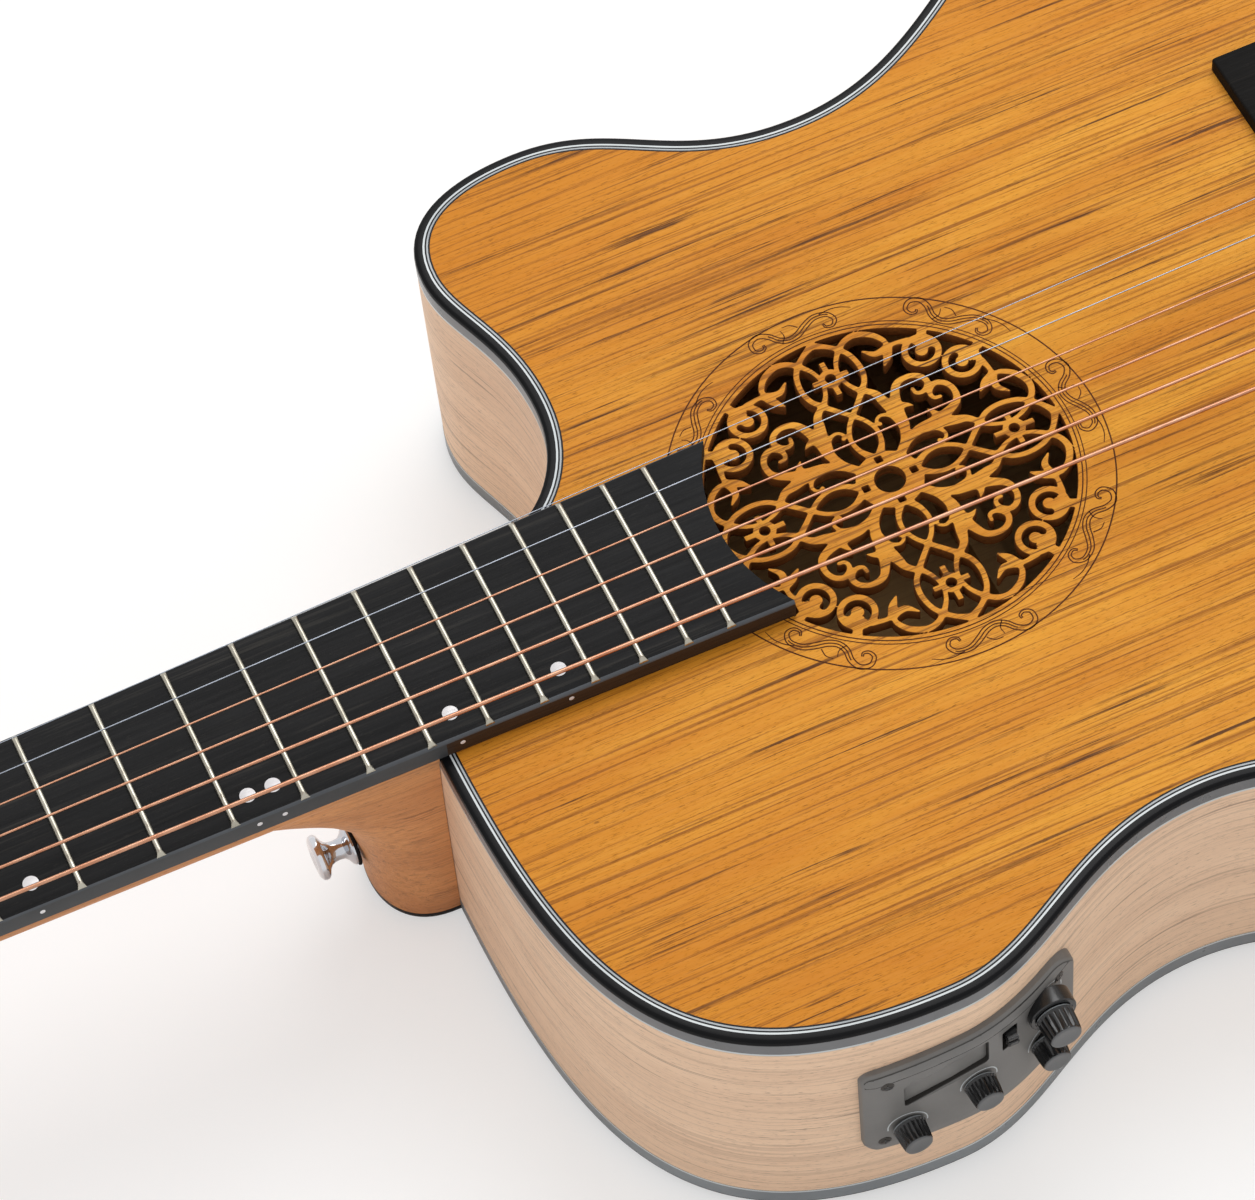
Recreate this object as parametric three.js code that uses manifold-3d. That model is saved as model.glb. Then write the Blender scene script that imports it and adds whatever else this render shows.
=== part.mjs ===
// Acoustic-electric guitar: cutaway body, scrollwork sound hole, preamp in the bass side.
// Millimetres. X runs from the nut to the tail, Y to the treble side, Z out of the soundboard.
// Zero height inside the group is the soundboard's top face, which the fingerboard is glued to.
import * as THREE from 'three';
import { mergeVertices } from 'three/addons/utils/BufferGeometryUtils.js';
import Module from 'manifold-3d';

const wasm = await Module();
wasm.setup();

// General fits
const seam = 0.3;
const overrun = 5;
const weldTolerance = 1e-4;

// Scale, frets and neck joint
const scaleLength = 650;
const fretCount = 20;
const jointFret = 14;
const jointPastFret = 1.2;
const fretPlace = n => scaleLength * (1 - 2 ** (-n / 12));

// Body outline, measured from the neck joint and from the centre line
const bodyLength = 503;
const bassBoutShare = 0.1775;
const bassBoutHalf = 149.5;
const trebleBoutShare = 0.1914;
const trebleBoutHalf = 148;
const waistShare = 0.3406;
const waistHalf = 123.4;
const lowerBoutShare = 0.7515;
const lowerBoutHalf = 202;
const shoulderFlatHalf = 20;
const neckSideHalf = 25.2;
const hornTipAt = 56.3;
const hornTipHalf = 118;
const cutawayAt = 67.1;
const cutawayHalf = 68;
const cutawayEndAt = 27;
const cutawayEndHalf = 26.2;

// How far each outline curve runs straight before it bends
const shoulderPull = 77.7;
const shoulderBoutPull = 80;
const bassBoutPull = 28;
const bassWaistPull = 37;
const waistPull = 61.5;
const lowerBoutPull = 126;
const lowerTailPull = 86;
const tailPull = 122;
const trebleBoutPull = 31;
const trebleWaistPull = 36;
const hornBoutPull = 16.3;
const hornTipPull = 25.2;
const hornInnerPull = 14.8;
const cutawayPull = 24;
const cutawayOuterPull = 29;
const cutawayEndPull = 20;
const curveSteps = [7, 4, 10, 8, 8, 10, 4, 5, 5, 6];

// Body depth, plates and sides
const bodyDepth = 90.5;
const backArchRadius = 4500;
const backFlatHalf = 50;
const archKnotCount = 4;
const topThickness = 3.5;
const backThickness = 2.8;
const sideThickness = 2.2;
const bindingWidth = 4.6;
const bindingHeight = 6.6;
const liningReach = 9;
const liningDepth = 12;
const liningTaper = 6;

// Blocks and braces
const neckBlockLength = 58;
const neckBlockBassHalf = 33;
const neckBlockTrebleHalf = 21.5;
const tailBlockLength = 18;
const tailBlockHalf = 34;
const braceWidth = 8;
const braceHeight = 12;
const braceCrossShare = 0.4294;
const braceSpreadDegrees = 48;
const braceFrontReach = 150;
const braceTailReachShare = 0.4334;
const shoulderBraceShare = 0.168;
const shoulderBraceHalf = 122;
const holeBraceAt = 59;
const toneBraceLengthShare = 0.957;
const toneBraceTurnDegrees = 28;
const toneBraceBehindShares = [0.0433, 0.184];
const bridgePlateThickness = 3;
const bridgePlateLength = 46;
const backStripWidth = 16;
const backStripHeight = 3;
const backBraceShares = [0.1849, 0.3539, 0.5805, 0.8032];
const backBraceHalves = [122, 100, 168, 176];

// Sound hole and its scrollwork
const holeAt = 142.6;
const holeRadius = 50;
const holeSides = 64;
const scrollWidth = 1.8;
const bossRadius = 9.3;
const bossHoleRadius = 4.2;
const bossWindowAt = 7.1;
const bossWindowSize = 2;
const flowerAt = 37;
const flowerRadius = 3.2;
const flowerHoleRadius = 1.45;
const flowerPetalLength = 5.9;
const flowerSideLength = 5.3;
const flowerPetalWidth = 1.5;
const cornerDiscRadius = 5.7;
const cornerSlotRadius = 2.9;
const cornerSlotWidth = 1.7;

// Neck
const nutWidth = 43;
const widthAtTwelfth = 52;
const nutLength = 5;
const neckDepthAtNut = 14.5;
const neckDepthAtHeel = 17.5;
const heelWidthAtCap = 39;
const heelCapThickness = 2.2;
const heelRise = 1.2;
const heelLengthAtCap = 19.5;
const heelLengthAtNeck = 62;
const tenonLength = 16;
const tenonWidth = 19;
const tenonTop = 8;
const tenonDepth = 50;
const rodWidth = 5.8;
const rodDepth = 8.6;
const rodEndAt = 352;
const rodNutRadius = 3;
const rodNutLength = 9;
const rodNutDrop = 5.3;
const rodPocketLength = 26;
const rodPocketHalf = 5.4;

// Fingerboard, frets and nut
const boardThickness = 7;
const boardCamberRadius = 400;
const boardEndGap = 0.5;
const fretHeight = 1.1;
const fretWidth = 2.1;
const nutAboveFrets = 0.4;
const nutFallDegrees = 19;

// Headstock
const headTiltDegrees = 14;
const headLength = 184;
const headThickness = 13.5;
const headHalfAtNut = 22.5;
const headHalfAtShoulder = 33;
const headHalfAtTop = 37.5;
const overlayThickness = 2;
const coverLength = 32;
const coverHalf = 11;
const coverThickness = 1.6;

// Strings, thinnest first
const stringDiameters = [0.31, 0.41, 0.61, 0.81, 1.07, 1.35];
const stringSpreadAtNut = 36;
const stringSpreadAtSaddle = 56;
const stringSides = 6;
const windingTurns = 1.5;
const windingSteps = 24;
const windingGap = 0.45;
const ballRadius = 2;
const ballLength = 3;

// Tuners
const tunerFirstAt = 42;
const tunerSpacing = 39;
const tunerHalf = 22;
const tunerFan = 1.5;
const postRadius = 3;
const postAboveHead = 15;
const postTailLength = 5;
const postHoleRadius = 1;
const postHoleBelowTop = 3.5;
const postCrownShare = 0.8;
const postWaistShare = 0.85;
const bushRadius = 4.8;
const bushFlangeRadius = 7;
const bushFlangeHeight = 2;
const caseLength = 19;
const caseWidth = 15;
const caseHeight = 9.5;
const caseCorner = 3;
const wormOffset = 5.5;
const shaftRadius = 2;
const shaftDepth = 6;
const buttonGap = 2.6;
const buttonLength = 13;
const buttonHeight = 18;
const buttonThickness = 7;
const buttonBevel = 1.2;
const headEdgeClearance = 1.4;
const roundSides = 12;
const shaftSides = 8;

// Bridge, saddle and pins
const bridgeFrontAt = 645.5;
const bridgeLength = 30;
const bridgeHalf = 85;
const bridgeHeight = 10;
const bridgeWingHeight = 4.6;
const bridgeCoreHalf = 38;
const bridgeWingHalf = 58;
const bridgeRound = 2;
const saddleBehindFront = 7.5;
const saddleThickness = 3;
const saddleHalf = 37;
const saddleSlotDepth = 5;
const saddleTop = 13.6;
const saddleCrownDrop = 0.9;
const saddleCrownWidth = 1;
const pickupThickness = 1.2;
const pinBehindSaddle = 11;
const pinRadius = 2.45;
const pinTipRadius = 2.2;
const pinHeadRadius = 3.6;
const pinHeadAbove = 2.2;
const pinHeadHeight = 2.8;
const pinHeadShares = [[0.9, 0], [1, 0.35], [0.75, 0.85], [0, 1]];
const pinLength = 26;
const pinSides = 10;

// Preamp, measured from the soundboard's top face down
const panelFrontAt = 61.5;
const panelTailAt = 126.5;
const panelTopDrop = 18;
const panelHeight = 43;
const panelThickness = 3;
const panelCornerRadius = 3.5;
const panelTailRadius = 9;
const panelCaseFrontAt = 67;
const panelCaseTailAt = 121;
const panelCaseHalf = 119;
const panelCaseTopDrop = 21.5;
const panelCaseHeight = 36;
const windowFrontAt = 72.3;
const windowTailAt = 95.9;
const windowTopDrop = 27;
const windowHeight = 10;
const windowRecess = 1.4;
const knobPlaces = [72.8, 93, 115.2, 114.4];
const knobDrops = [50, 42.5, 28, 46];
const knobRadii = [4.5, 4.5, 5.1, 4.5];
const knobLengths = [6.4, 6.4, 7, 6.4];
const knobNames = ['bass_knob', 'middle_knob', 'volume_knob', 'treble_knob'];
const collarKnob = 2;
const knobRibs = 10;
const knobRibDepth = 0.35;
const knobEdgeRound = 0.5;
const knobShaftRadius = 3;
const knobShaftDepth = 7;
const collarRadius = 6.6;
const collarHeight = 2.6;
const switchAt = 102.7;
const switchDrop = 28;
const switchWidth = 2.6;
const switchLength = 3.4;
const switchTravel = 3;
const switchReach = 3.2;
const switchDepth = 4;

// Strap buttons and jack
const buttonDrop = 67;
const strapRadius = 6.6;
const strapRimWidth = 2.4;
const strapWaistRadius = 3.3;
const strapBaseRadius = 5.8;
const strapBaseWidth = 1.6;
const strapLength = 11.5;
const strapCrownShare = 0.8;
const strapScrewRadius = 1.75;
const strapScrewLength = 16;
const jackDrop = 45;
const jackBodyRadius = 6;
const jackBodyLength = 34;
const jackBoreRadius = 3.3;
const jackBoreDepth = 30;
const jackFlangeRadius = 8.6;
const jackFlangeWidth = 2;
const jackRimRadius = 7.6;
const jackRimWidth = 2.6;
const jackWaistRadius = 5.2;
const jackLength = 12;
const jackCrownShare = 0.85;
const jackSlopeShare = 1.6;

// Places that follow from the sizes above
const bodyFront = fretPlace(jointFret) + jointPastFret;
const bodyTail = bodyFront + bodyLength;
const bassBoutAt = bodyLength * bassBoutShare;
const trebleBoutAt = bodyLength * trebleBoutShare;
const waistAt = bodyLength * waistShare;
const lowerBoutAt = bodyLength * lowerBoutShare;
const braceCross = bodyFront + bodyLength * braceCrossShare;
const shoulderBraceAt = bodyFront + bodyLength * shoulderBraceShare;
const boardTop = boardThickness;
const holeCentre = bodyFront + holeAt;
const saddleCentre = bridgeFrontAt + saddleBehindFront;
const pinLine = saddleCentre + pinBehindSaddle;
const bridgePlateEnd = pinLine + bridgePlateLength / 2;
const headTilt = THREE.MathUtils.degToRad(headTiltDegrees);
const overlayTop = seam + overlayThickness;
const nutTop = boardTop + fretHeight + nutAboveFrets;
const liningInset = bindingWidth + seam;

const V2 = (x, y) => new THREE.Vector2(x, y);
const V3 = (x, y, z) => new THREE.Vector3(x, y, z);
const mix = THREE.MathUtils.lerp;

// Finishes: colour, roughness and metalness
const finishes = {
  topWood: [0xd9932f, 0.5, 0],
  sideWood: [0xc9a27e, 0.55, 0],
  neckWood: [0xbf7d48, 0.5, 0],
  innerWood: [0xd9bd8c, 0.8, 0],
  bindingPlastic: [0x1b1b1c, 0.35, 0],
  ebony: [0x1d1b1a, 0.55, 0],
  bone: [0xeae3d0, 0.5, 0],
  fretMetal: [0xc8c4b8, 0.3, 1],
  nickel: [0xd8d6d0, 0.15, 1],
  chrome: [0xc9cbd0, 0.12, 1],
  steel: [0xbfc2c6, 0.3, 1],
  bronze: [0xb97a52, 0.35, 1],
  blackPlastic: [0x141415, 0.4, 0],
  panelPlastic: [0x6d6e70, 0.45, 0],
  rodSteel: [0x77787a, 0.4, 1],
};

const guitar = new THREE.Group();
const inner = new THREE.Group();
inner.position.set(-(bodyFront + bodyLength / 2), 0, bodyDepth);
guitar.add(inner);
const head = new THREE.Group();
head.position.set(-nutLength, 0, 0);
head.rotation.y = -headTilt;
inner.add(head);
head.updateMatrix();

function flipped(index) {
  const turned = index.slice();
  for (let i = 0; i < turned.length; i += 3) {
    turned[i] = index[i + 1];
    turned[i + 1] = index[i];
  }
  return turned;
}

function signedVolume(place, index) {
  const a = V3();
  const b = V3();
  const c = V3();
  let sum = 0;
  for (let i = 0; i < index.length; i += 3) {
    a.fromArray(place, index[i] * 3);
    b.fromArray(place, index[i + 1] * 3);
    c.fromArray(place, index[i + 2] * 3);
    sum += a.dot(b.cross(c));
  }
  return sum;
}

// A closed geometry as a solid for cutting and joining
function solid(geometry) {
  const bare = geometry.clone();
  for (const name of Object.keys(bare.attributes)) {
    if (name !== 'position') bare.deleteAttribute(name);
  }
  const merged = mergeVertices(bare, weldTolerance);
  const vertProperties = new Float32Array(merged.attributes.position.array);
  let triVerts = new Uint32Array(merged.index.array);
  if (signedVolume(vertProperties, triVerts) < 0) triVerts = flipped(triVerts);
  return new wasm.Manifold(new wasm.Mesh({ numProp: 3, vertProperties, triVerts }));
}

function geometryOf(shape) {
  const { vertProperties, triVerts } = shape.getMesh();
  const geometry = new THREE.BufferGeometry();
  geometry.setAttribute('position', new THREE.BufferAttribute(vertProperties, 3));
  geometry.setIndex(new THREE.BufferAttribute(triVerts, 1));
  geometry.computeVertexNormals();
  return geometry;
}

function addPiece(name, shape, finish, parent = inner) {
  const [color, roughness, metalness] = finishes[finish];
  const material = new THREE.MeshStandardMaterial({ color, roughness, metalness });
  const mesh = new THREE.Mesh(shape.isBufferGeometry ? shape : geometryOf(shape), material);
  mesh.name = name;
  parent.add(mesh);
  return mesh;
}

const union = shapes => shapes.reduce((sum, shape) => sum.add(shape));
const without = (shape, cuts) => cuts.reduce((rest, cut) => rest.subtract(cut), shape);

// Solids between rings of points that have the same count; section gives the rings' flat shape
function loft(rings, section) {
  const count = rings[0].length;
  const place = rings.flat().flatMap(p => [p.x, p.y, p.z]);
  const index = [];
  for (let r = 0; r + 1 < rings.length; r++) {
    for (let i = 0; i < count; i++) {
      const a = r * count + i;
      const b = r * count + (i + 1) % count;
      index.push(a, b, b + count, a, b + count, a + count);
    }
  }
  const last = (rings.length - 1) * count;
  const clockwise = THREE.ShapeUtils.isClockWise(section);
  for (const [p, b, q] of THREE.ShapeUtils.triangulateShape(section, [])) {
    const [a, c] = clockwise ? [q, p] : [p, q];
    index.push(c, b, a, last + a, last + b, last + c);
  }
  const turned = signedVolume(place, index) < 0 ? flipped(index) : index;
  const geometry = new THREE.BufferGeometry();
  geometry.setAttribute('position', new THREE.Float32BufferAttribute(place, 3));
  geometry.setIndex(turned);
  geometry.computeVertexNormals();
  return geometry;
}

// A flat outline raised from one height to another
function plate(points, low, high) {
  const options = { depth: high - low, bevelEnabled: false, steps: 1 };
  return solid(new THREE.ExtrudeGeometry(new THREE.Shape(points), options).translate(0, 0, low));
}

function block(x0, x1, y0, y1, z0, z1) {
  const shape = new THREE.BoxGeometry(x1 - x0, y1 - y0, z1 - z0);
  return solid(shape.translate((x0 + x1) / 2, (y0 + y1) / 2, (z0 + z1) / 2));
}

function circlePoints(radius, sides, x = 0, y = 0) {
  const turn = i => 2 * Math.PI * (i + 0.5) / sides;
  const point = i => V2(x + radius * Math.cos(turn(i)), y + radius * Math.sin(turn(i)));
  return Array.from({ length: sides }, (_, i) => point(i));
}

// A turned solid on the Y axis from its profile of radius and height
function turned(profile, sides) {
  return new THREE.LatheGeometry(profile.map(([r, y]) => V2(r, y)), sides);
}

// Outline curves of the body
function curve(x0, y0, pullX0, pullY0, x1, y1, pullX1, pullY1) {
  const [start, end] = [V2(x0, y0), V2(x1, y1)];
  return new THREE.CubicBezierCurve(start, V2(x0 + pullX0, y0 + pullY0), V2(x1 + pullX1, y1 + pullY1), end);
}

function outlineCurves() {
  return [
    curve(0, -shoulderFlatHalf, 0, -shoulderPull, bassBoutAt, -bassBoutHalf, -shoulderBoutPull, 0),
    curve(bassBoutAt, -bassBoutHalf, bassBoutPull, 0, waistAt, -waistHalf, -bassWaistPull, 0),
    curve(waistAt, -waistHalf, waistPull, 0, lowerBoutAt, -lowerBoutHalf, -lowerBoutPull, 0),
    curve(lowerBoutAt, -lowerBoutHalf, lowerTailPull, 0, bodyLength, 0, 0, -tailPull),
    curve(bodyLength, 0, 0, tailPull, lowerBoutAt, lowerBoutHalf, lowerTailPull, 0),
    curve(lowerBoutAt, lowerBoutHalf, -lowerBoutPull, 0, waistAt, waistHalf, waistPull, 0),
    curve(waistAt, waistHalf, -trebleWaistPull, 0, trebleBoutAt, trebleBoutHalf, trebleBoutPull, 0),
    curve(trebleBoutAt, trebleBoutHalf, -hornBoutPull, 0, hornTipAt, hornTipHalf, 0, hornTipPull),
    curve(hornTipAt, hornTipHalf, 0, -hornInnerPull, cutawayAt, cutawayHalf, 0, cutawayPull),
    curve(cutawayAt, cutawayHalf, 0, -cutawayOuterPull, cutawayEndAt, cutawayEndHalf, cutawayEndPull, 0),
  ];
}

// Outer outline from the front's centre, along the bass side, round the tail and back
const outline = [V2(bodyFront, 0)];
outlineCurves().forEach((part, i) => {
  part.getPoints(curveSteps[i]).slice(0, -1).forEach(p => outline.push(V2(bodyFront + p.x, p.y)));
});
outline.push(V2(bodyFront + cutawayEndAt, cutawayEndHalf), V2(bodyFront, neckSideHalf));
const tailIndex = outline.findIndex(p => p.x > bodyTail - weldTolerance);

// The outline's point i moved inwards by a distance, with mitred corners
function insetPoint(i, distance) {
  const n = outline.length;
  const before = outline[i].clone().sub(outline[(i + n - 1) % n]).normalize();
  const after = outline[(i + 1) % n].clone().sub(outline[i]).normalize();
  const normal = V2(-before.y - after.y, before.x + after.x);
  const stretch = 1 + before.dot(after);
  return outline[i].clone().addScaledVector(normal, distance / stretch);
}

const insetOutline = distance => outline.map((_, i) => insetPoint(i, distance));

// The back's arch: flat in the middle, rising towards the sides, in flat strips
const archKnots = [backFlatHalf];
for (let i = 1; i <= archKnotCount; i++) {
  archKnots.push(mix(backFlatHalf, lowerBoutHalf + overrun, i / archKnotCount));
}
const archRise = y => (y * y - backFlatHalf * backFlatHalf) / (2 * backArchRadius);

function backHeight(y) {
  const reach = Math.abs(y);
  if (reach <= backFlatHalf) return -bodyDepth;
  const next = Math.min(archKnots.findIndex(knot => knot >= reach), archKnotCount);
  const share = (reach - archKnots[next - 1]) / (archKnots[next] - archKnots[next - 1]);
  return -bodyDepth + mix(archRise(archKnots[next - 1]), archRise(archKnots[next]), share);
}

// Everything between two heights that are measured from the arched back
function archSlab(low, high) {
  const knots = [...archKnots.slice().reverse().map(y => -y), ...archKnots];
  const section = [
    ...knots.map(y => V2(y, backHeight(y) + low)),
    ...knots.slice().reverse().map(y => V2(y, backHeight(y) + high)),
  ];
  const ring = x => section.map(p => V3(x, p.x, p.y));
  return solid(loft([ring(bodyFront - overrun), ring(bodyTail + overrun)], section));
}

// Scrollwork: ribbons on smooth lines, drawn in an eighth of the hole and repeated
// Each stroke of one eighth: places as shares of the hole's radius, widths as shares of a scroll's width
const petalShares = [
  [0.172, 0.024], [0.24, 0.066], [0.32, 0.078], [0.4, 0.05], [0.462, 0], [0.526, -0.06],
  [0.588, -0.116],
];
const petalWidthShares = [1.44, 1, 0.89, 0.89, 0.94, 1, 1.11];
const lensOuterShares = [[0.588, 0.112], [0.65, 0.16], [0.736, 0.178], [0.83, 0.162], [0.896, 0.124]];
const lensOuterWidthShares = [1.06, 1, 1, 1, 1.06];
const lensInnerShares = [[0.588, 0.112], [0.66, 0.068], [0.736, 0.052], [0.816, 0.068], [0.896, 0.12]];
const lensInnerWidthShares = [1.06, 0.83, 0.72, 0.83, 1.06];
const rimArcShares = [[0.896, 0.124], [0.944, 0.068], [0.984, 0]];
const rimArcWidthShares = [1.06, 1, 1.44];
const armShares = [
  [0.132, 0.124], [0.2, 0.184], [0.28, 0.22], [0.37, 0.226], [0.48, 0.262], [0.548, 0.306],
  [0.564, 0.376], [0.54, 0.434], [0.492, 0.458], [0.452, 0.436], [0.436, 0.402], [0.446, 0.372],
  [0.478, 0.366],
];
const armWidthShares = [1.22, 1.33, 1.89, 2.33, 1.67, 1.33, 1.11, 1.11, 1.11, 1, 0.89, 0.78, 0.72];
const thornShares = [[0.408, 0.26], [0.398, 0.292], [0.378, 0.324]];
const thornWidthShares = [1.44, 0.94, 0.17];
const spurShares = [[0.41, 0.212], [0.48, 0.19], [0.54, 0.172], [0.588, 0.128]];
const spurWidthShares = [2.22, 1.83, 1.39, 1.11];
const hookShares = [
  [0.29, 0.212], [0.368, 0.186], [0.396, 0.144], [0.388, 0.112], [0.364, 0.098], [0.348, 0.108],
];
const hookWidthShares = [0.89, 0.89, 0.72, 0.67, 0.72, 0.83];
const rimScrollShares = [
  [0.892, 0.12], [0.932, 0.172], [0.944, 0.24], [0.906, 0.32], [0.842, 0.366], [0.792, 0.366],
];
const rimScrollWidthShares = [1.06, 1.11, 1.22, 1.17, 1, 0.78];
const stemShares = [[0.792, 0.35], [0.796, 0.41], [0.784, 0.48]];
const stemWidthShares = [0.89, 0.89, 1.11];
const leafShares = [[0.79, 0.37], [0.736, 0.34], [0.688, 0.3]];
const leafWidthShares = [1.44, 1.44, 0.44];
const leafTipShares = [[0.79, 0.36], [0.778, 0.288], [0.824, 0.232]];
const leafTipWidthShares = [1.22, 1.22, 0.44];
const rimTieShares = [[0.77, 0.56], [0.84, 0.6]];
const rimTieWidthShares = [1.44, 1.89];
const scrollStrokes = [
  [petalShares, petalWidthShares],
  [lensOuterShares, lensOuterWidthShares],
  [lensInnerShares, lensInnerWidthShares],
  [rimArcShares, rimArcWidthShares],
  [armShares, armWidthShares],
  [thornShares, thornWidthShares],
  [spurShares, spurWidthShares],
  [hookShares, hookWidthShares],
  [rimScrollShares, rimScrollWidthShares],
  [stemShares, stemWidthShares],
  [leafShares, leafWidthShares],
  [leafTipShares, leafTipWidthShares],
  [rimTieShares, rimTieWidthShares],
];
const discAtShares = [0.686, 0.522];
const discSlotStartShare = -0.11;
const discSlotTurnShare = -1.28;
const discSlotWidthShares = [0.7, 1, 1, 1, 1, 1.2];
const scrollSteps = 1;

function ribbon(shares, widthShares, width, place) {
  const line = new THREE.CatmullRomCurve3(shares.map(([x, y]) => V3(x * holeRadius, y * holeRadius, 0)));
  const count = (shares.length - 1) * scrollSteps;
  const left = [];
  const right = [];
  for (let i = 0; i <= count; i++) {
    const at = line.getPoint(i / count);
    const along = line.getTangent(i / count);
    const step = i / scrollSteps;
    const k = Math.min(Math.floor(step), widthShares.length - 2);
    const half = width * mix(widthShares[k], widthShares[k + 1], step - k) / 2;
    left.push(place(at.x - along.y * half, at.y + along.x * half));
    right.unshift(place(at.x + along.y * half, at.y - along.x * half));
  }
  return [...left, ...right];
}

function scrollOutlines(place) {
  const [x, y] = discAtShares.map(share => share * holeRadius);
  const disc = circlePoints(cornerDiscRadius, roundSides, x, y).map(p => place(p.x, p.y));
  const ribbons = scrollStrokes.map(stroke => ribbon(...stroke, scrollWidth, place));
  return [disc, ...ribbons];
}

// The eyes cut in the corner discs: a hooked slot with a round end
function scrollEyes(place) {
  const slotShare = cornerSlotRadius / holeRadius;
  const turns = discSlotWidthShares.length - 1;
  const slot = discSlotWidthShares.map((_, i) => {
    const angle = Math.PI * (discSlotStartShare + discSlotTurnShare * i / turns);
    return [discAtShares[0] + slotShare * Math.cos(angle), discAtShares[1] + slotShare * Math.sin(angle)];
  });
  return ribbon(slot, discSlotWidthShares, cornerSlotWidth, place);
}

function scrollwork() {
  const parts = [];
  const eyes = [];
  const outward = (points, list) => {
    const shape = points.map(p => V2(holeCentre + p.x, p.y));
    const past = list === parts ? 0 : overrun;
    list.push(plate(shape, -topThickness - past, past));
  };
  for (let quarter = 0; quarter < 4; quarter++) {
    const turn = quarter * Math.PI / 2;
    for (const side of [1, -1]) {
      const place = (x, y) => V2(x, side * y).rotateAround(V2(0, 0), turn);
      scrollOutlines(place).forEach(points => outward(points, parts));
      outward(scrollEyes(place), eyes);
    }
    const place = (x, y) => V2(x, y).rotateAround(V2(0, 0), turn);
    const petal = flowerPetalWidth / 2;
    outward(circlePoints(flowerRadius, roundSides, flowerAt).map(p => place(p.x, p.y)), parts);
    outward(circlePoints(flowerHoleRadius, roundSides / 2, flowerAt).map(p => place(p.x, p.y)), eyes);
    const bar = (x0, x1, y0, y1) => [place(x0, y0), place(x1, y0), place(x1, y1), place(x0, y1)];
    outward(bar(flowerAt - flowerPetalLength, flowerAt + flowerPetalLength, -petal, petal), parts);
    outward(bar(flowerAt - petal, flowerAt + petal, -flowerSideLength, flowerSideLength), parts);
    const windowHalf = bossWindowSize / 2;
    outward(bar(bossWindowAt - windowHalf, bossWindowAt + windowHalf, -windowHalf, windowHalf), eyes);
  }
  outward(circlePoints(bossRadius, roundSides * 2), parts);
  outward(circlePoints(bossHoleRadius, roundSides), eyes);
  return without(union(parts), eyes);
}

// Pins and strings: places across the guitar
const stringCount = stringDiameters.length;
const acrossShare = i => 0.5 - i / (stringCount - 1);
const stringAtNut = i => stringSpreadAtNut * acrossShare(i);
const stringAtSaddle = i => stringSpreadAtSaddle * acrossShare(i);
const stringRadius = i => stringDiameters[i] / 2;
const stringDropAt = i => pinLine - pinRadius - seam - stringRadius(i);

// The hole for one pin with the notch that its string lies in
function pinHole(i, low, high) {
  const y = stringAtSaddle(i);
  const half = stringRadius(i) + seam;
  const round = plate(circlePoints(pinRadius + seam, pinSides, pinLine, y), low, high);
  return round.add(block(stringDropAt(i) - half, pinLine, y - half, y + half, low, high));
}

const pinHoles = (low, high) => stringDiameters.map((_, i) => pinHole(i, low, high));

// Plates of the body
function soundboard() {
  const wood = plate(insetOutline(liningInset), -topThickness, 0);
  const hole = plate(circlePoints(holeRadius, holeSides, holeCentre), -topThickness - overrun, overrun);
  const pierced = wood.subtract(hole).add(scrollwork());
  return without(pierced, pinHoles(-topThickness - overrun, overrun));
}

function back() {
  return plate(insetOutline(liningInset), -bodyDepth - overrun, 0).intersect(archSlab(0, backThickness));
}

function ringPlate(outer, innerInset, low, high) {
  const inside = plate(insetOutline(innerInset), low - overrun, high + overrun);
  return plate(insetOutline(outer), low, high).subtract(inside);
}

const topBinding = () => ringPlate(0, bindingWidth, -bindingHeight, 0);
const backBinding = () => {
  const ring = ringPlate(0, bindingWidth, -bodyDepth - overrun, 0);
  return ring.intersect(archSlab(seam, bindingHeight));
};

// Blocks, with the clear space round them that the sides and linings keep
function neckBlock(grow = 0) {
  const x1 = bodyFront + neckBlockLength + grow;
  const [y0, y1] = [-neckBlockBassHalf - grow, neckBlockTrebleHalf + grow];
  const box = block(bodyFront, x1, y0, y1, -bodyDepth, -topThickness);
  const within = plate(insetOutline(sideThickness + seam - grow), -bodyDepth, -topThickness);
  return box.intersect(within);
}

function tailBlock(grow = 0) {
  const x0 = bodyTail - sideThickness - tailBlockLength - grow;
  const box = block(x0, bodyTail, -tailBlockHalf - grow, tailBlockHalf + grow, -bodyDepth, -topThickness);
  const within = plate(insetOutline(sideThickness + seam - grow), -bodyDepth, -topThickness);
  return box.intersect(within);
}

const overBack = () => archSlab(backThickness + seam, bodyDepth);

// The room that both bindings take at the edge of a block, seam included
function bindingRoom() {
  const upper = ringPlate(-overrun, liningInset, -bindingHeight - seam, 0);
  const lower = ringPlate(-overrun, liningInset, -bodyDepth, -bindingHeight);
  return upper.add(lower.intersect(archSlab(0, bindingHeight + seam)));
}

const jackHole = radius => {
  const profile = [[0, -jackBodyLength], [radius, -jackBodyLength], [radius, overrun], [0, overrun]];
  return turnedAlongX(profile, roundSides);
};

function turnedAlongX(profile, sides) {
  const shape = turned(profile, sides).rotateZ(-Math.PI / 2);
  return solid(shape.translate(bodyTail, 0, -jackDrop));
}

function tenon(grow = 0) {
  const half = tenonWidth / 2 + grow;
  const [x0, x1] = [bodyFront - overrun, bodyFront + tenonLength + grow];
  return block(x0, x1, -half, half, -tenonTop - tenonDepth - grow, -tenonTop + grow);
}

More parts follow.
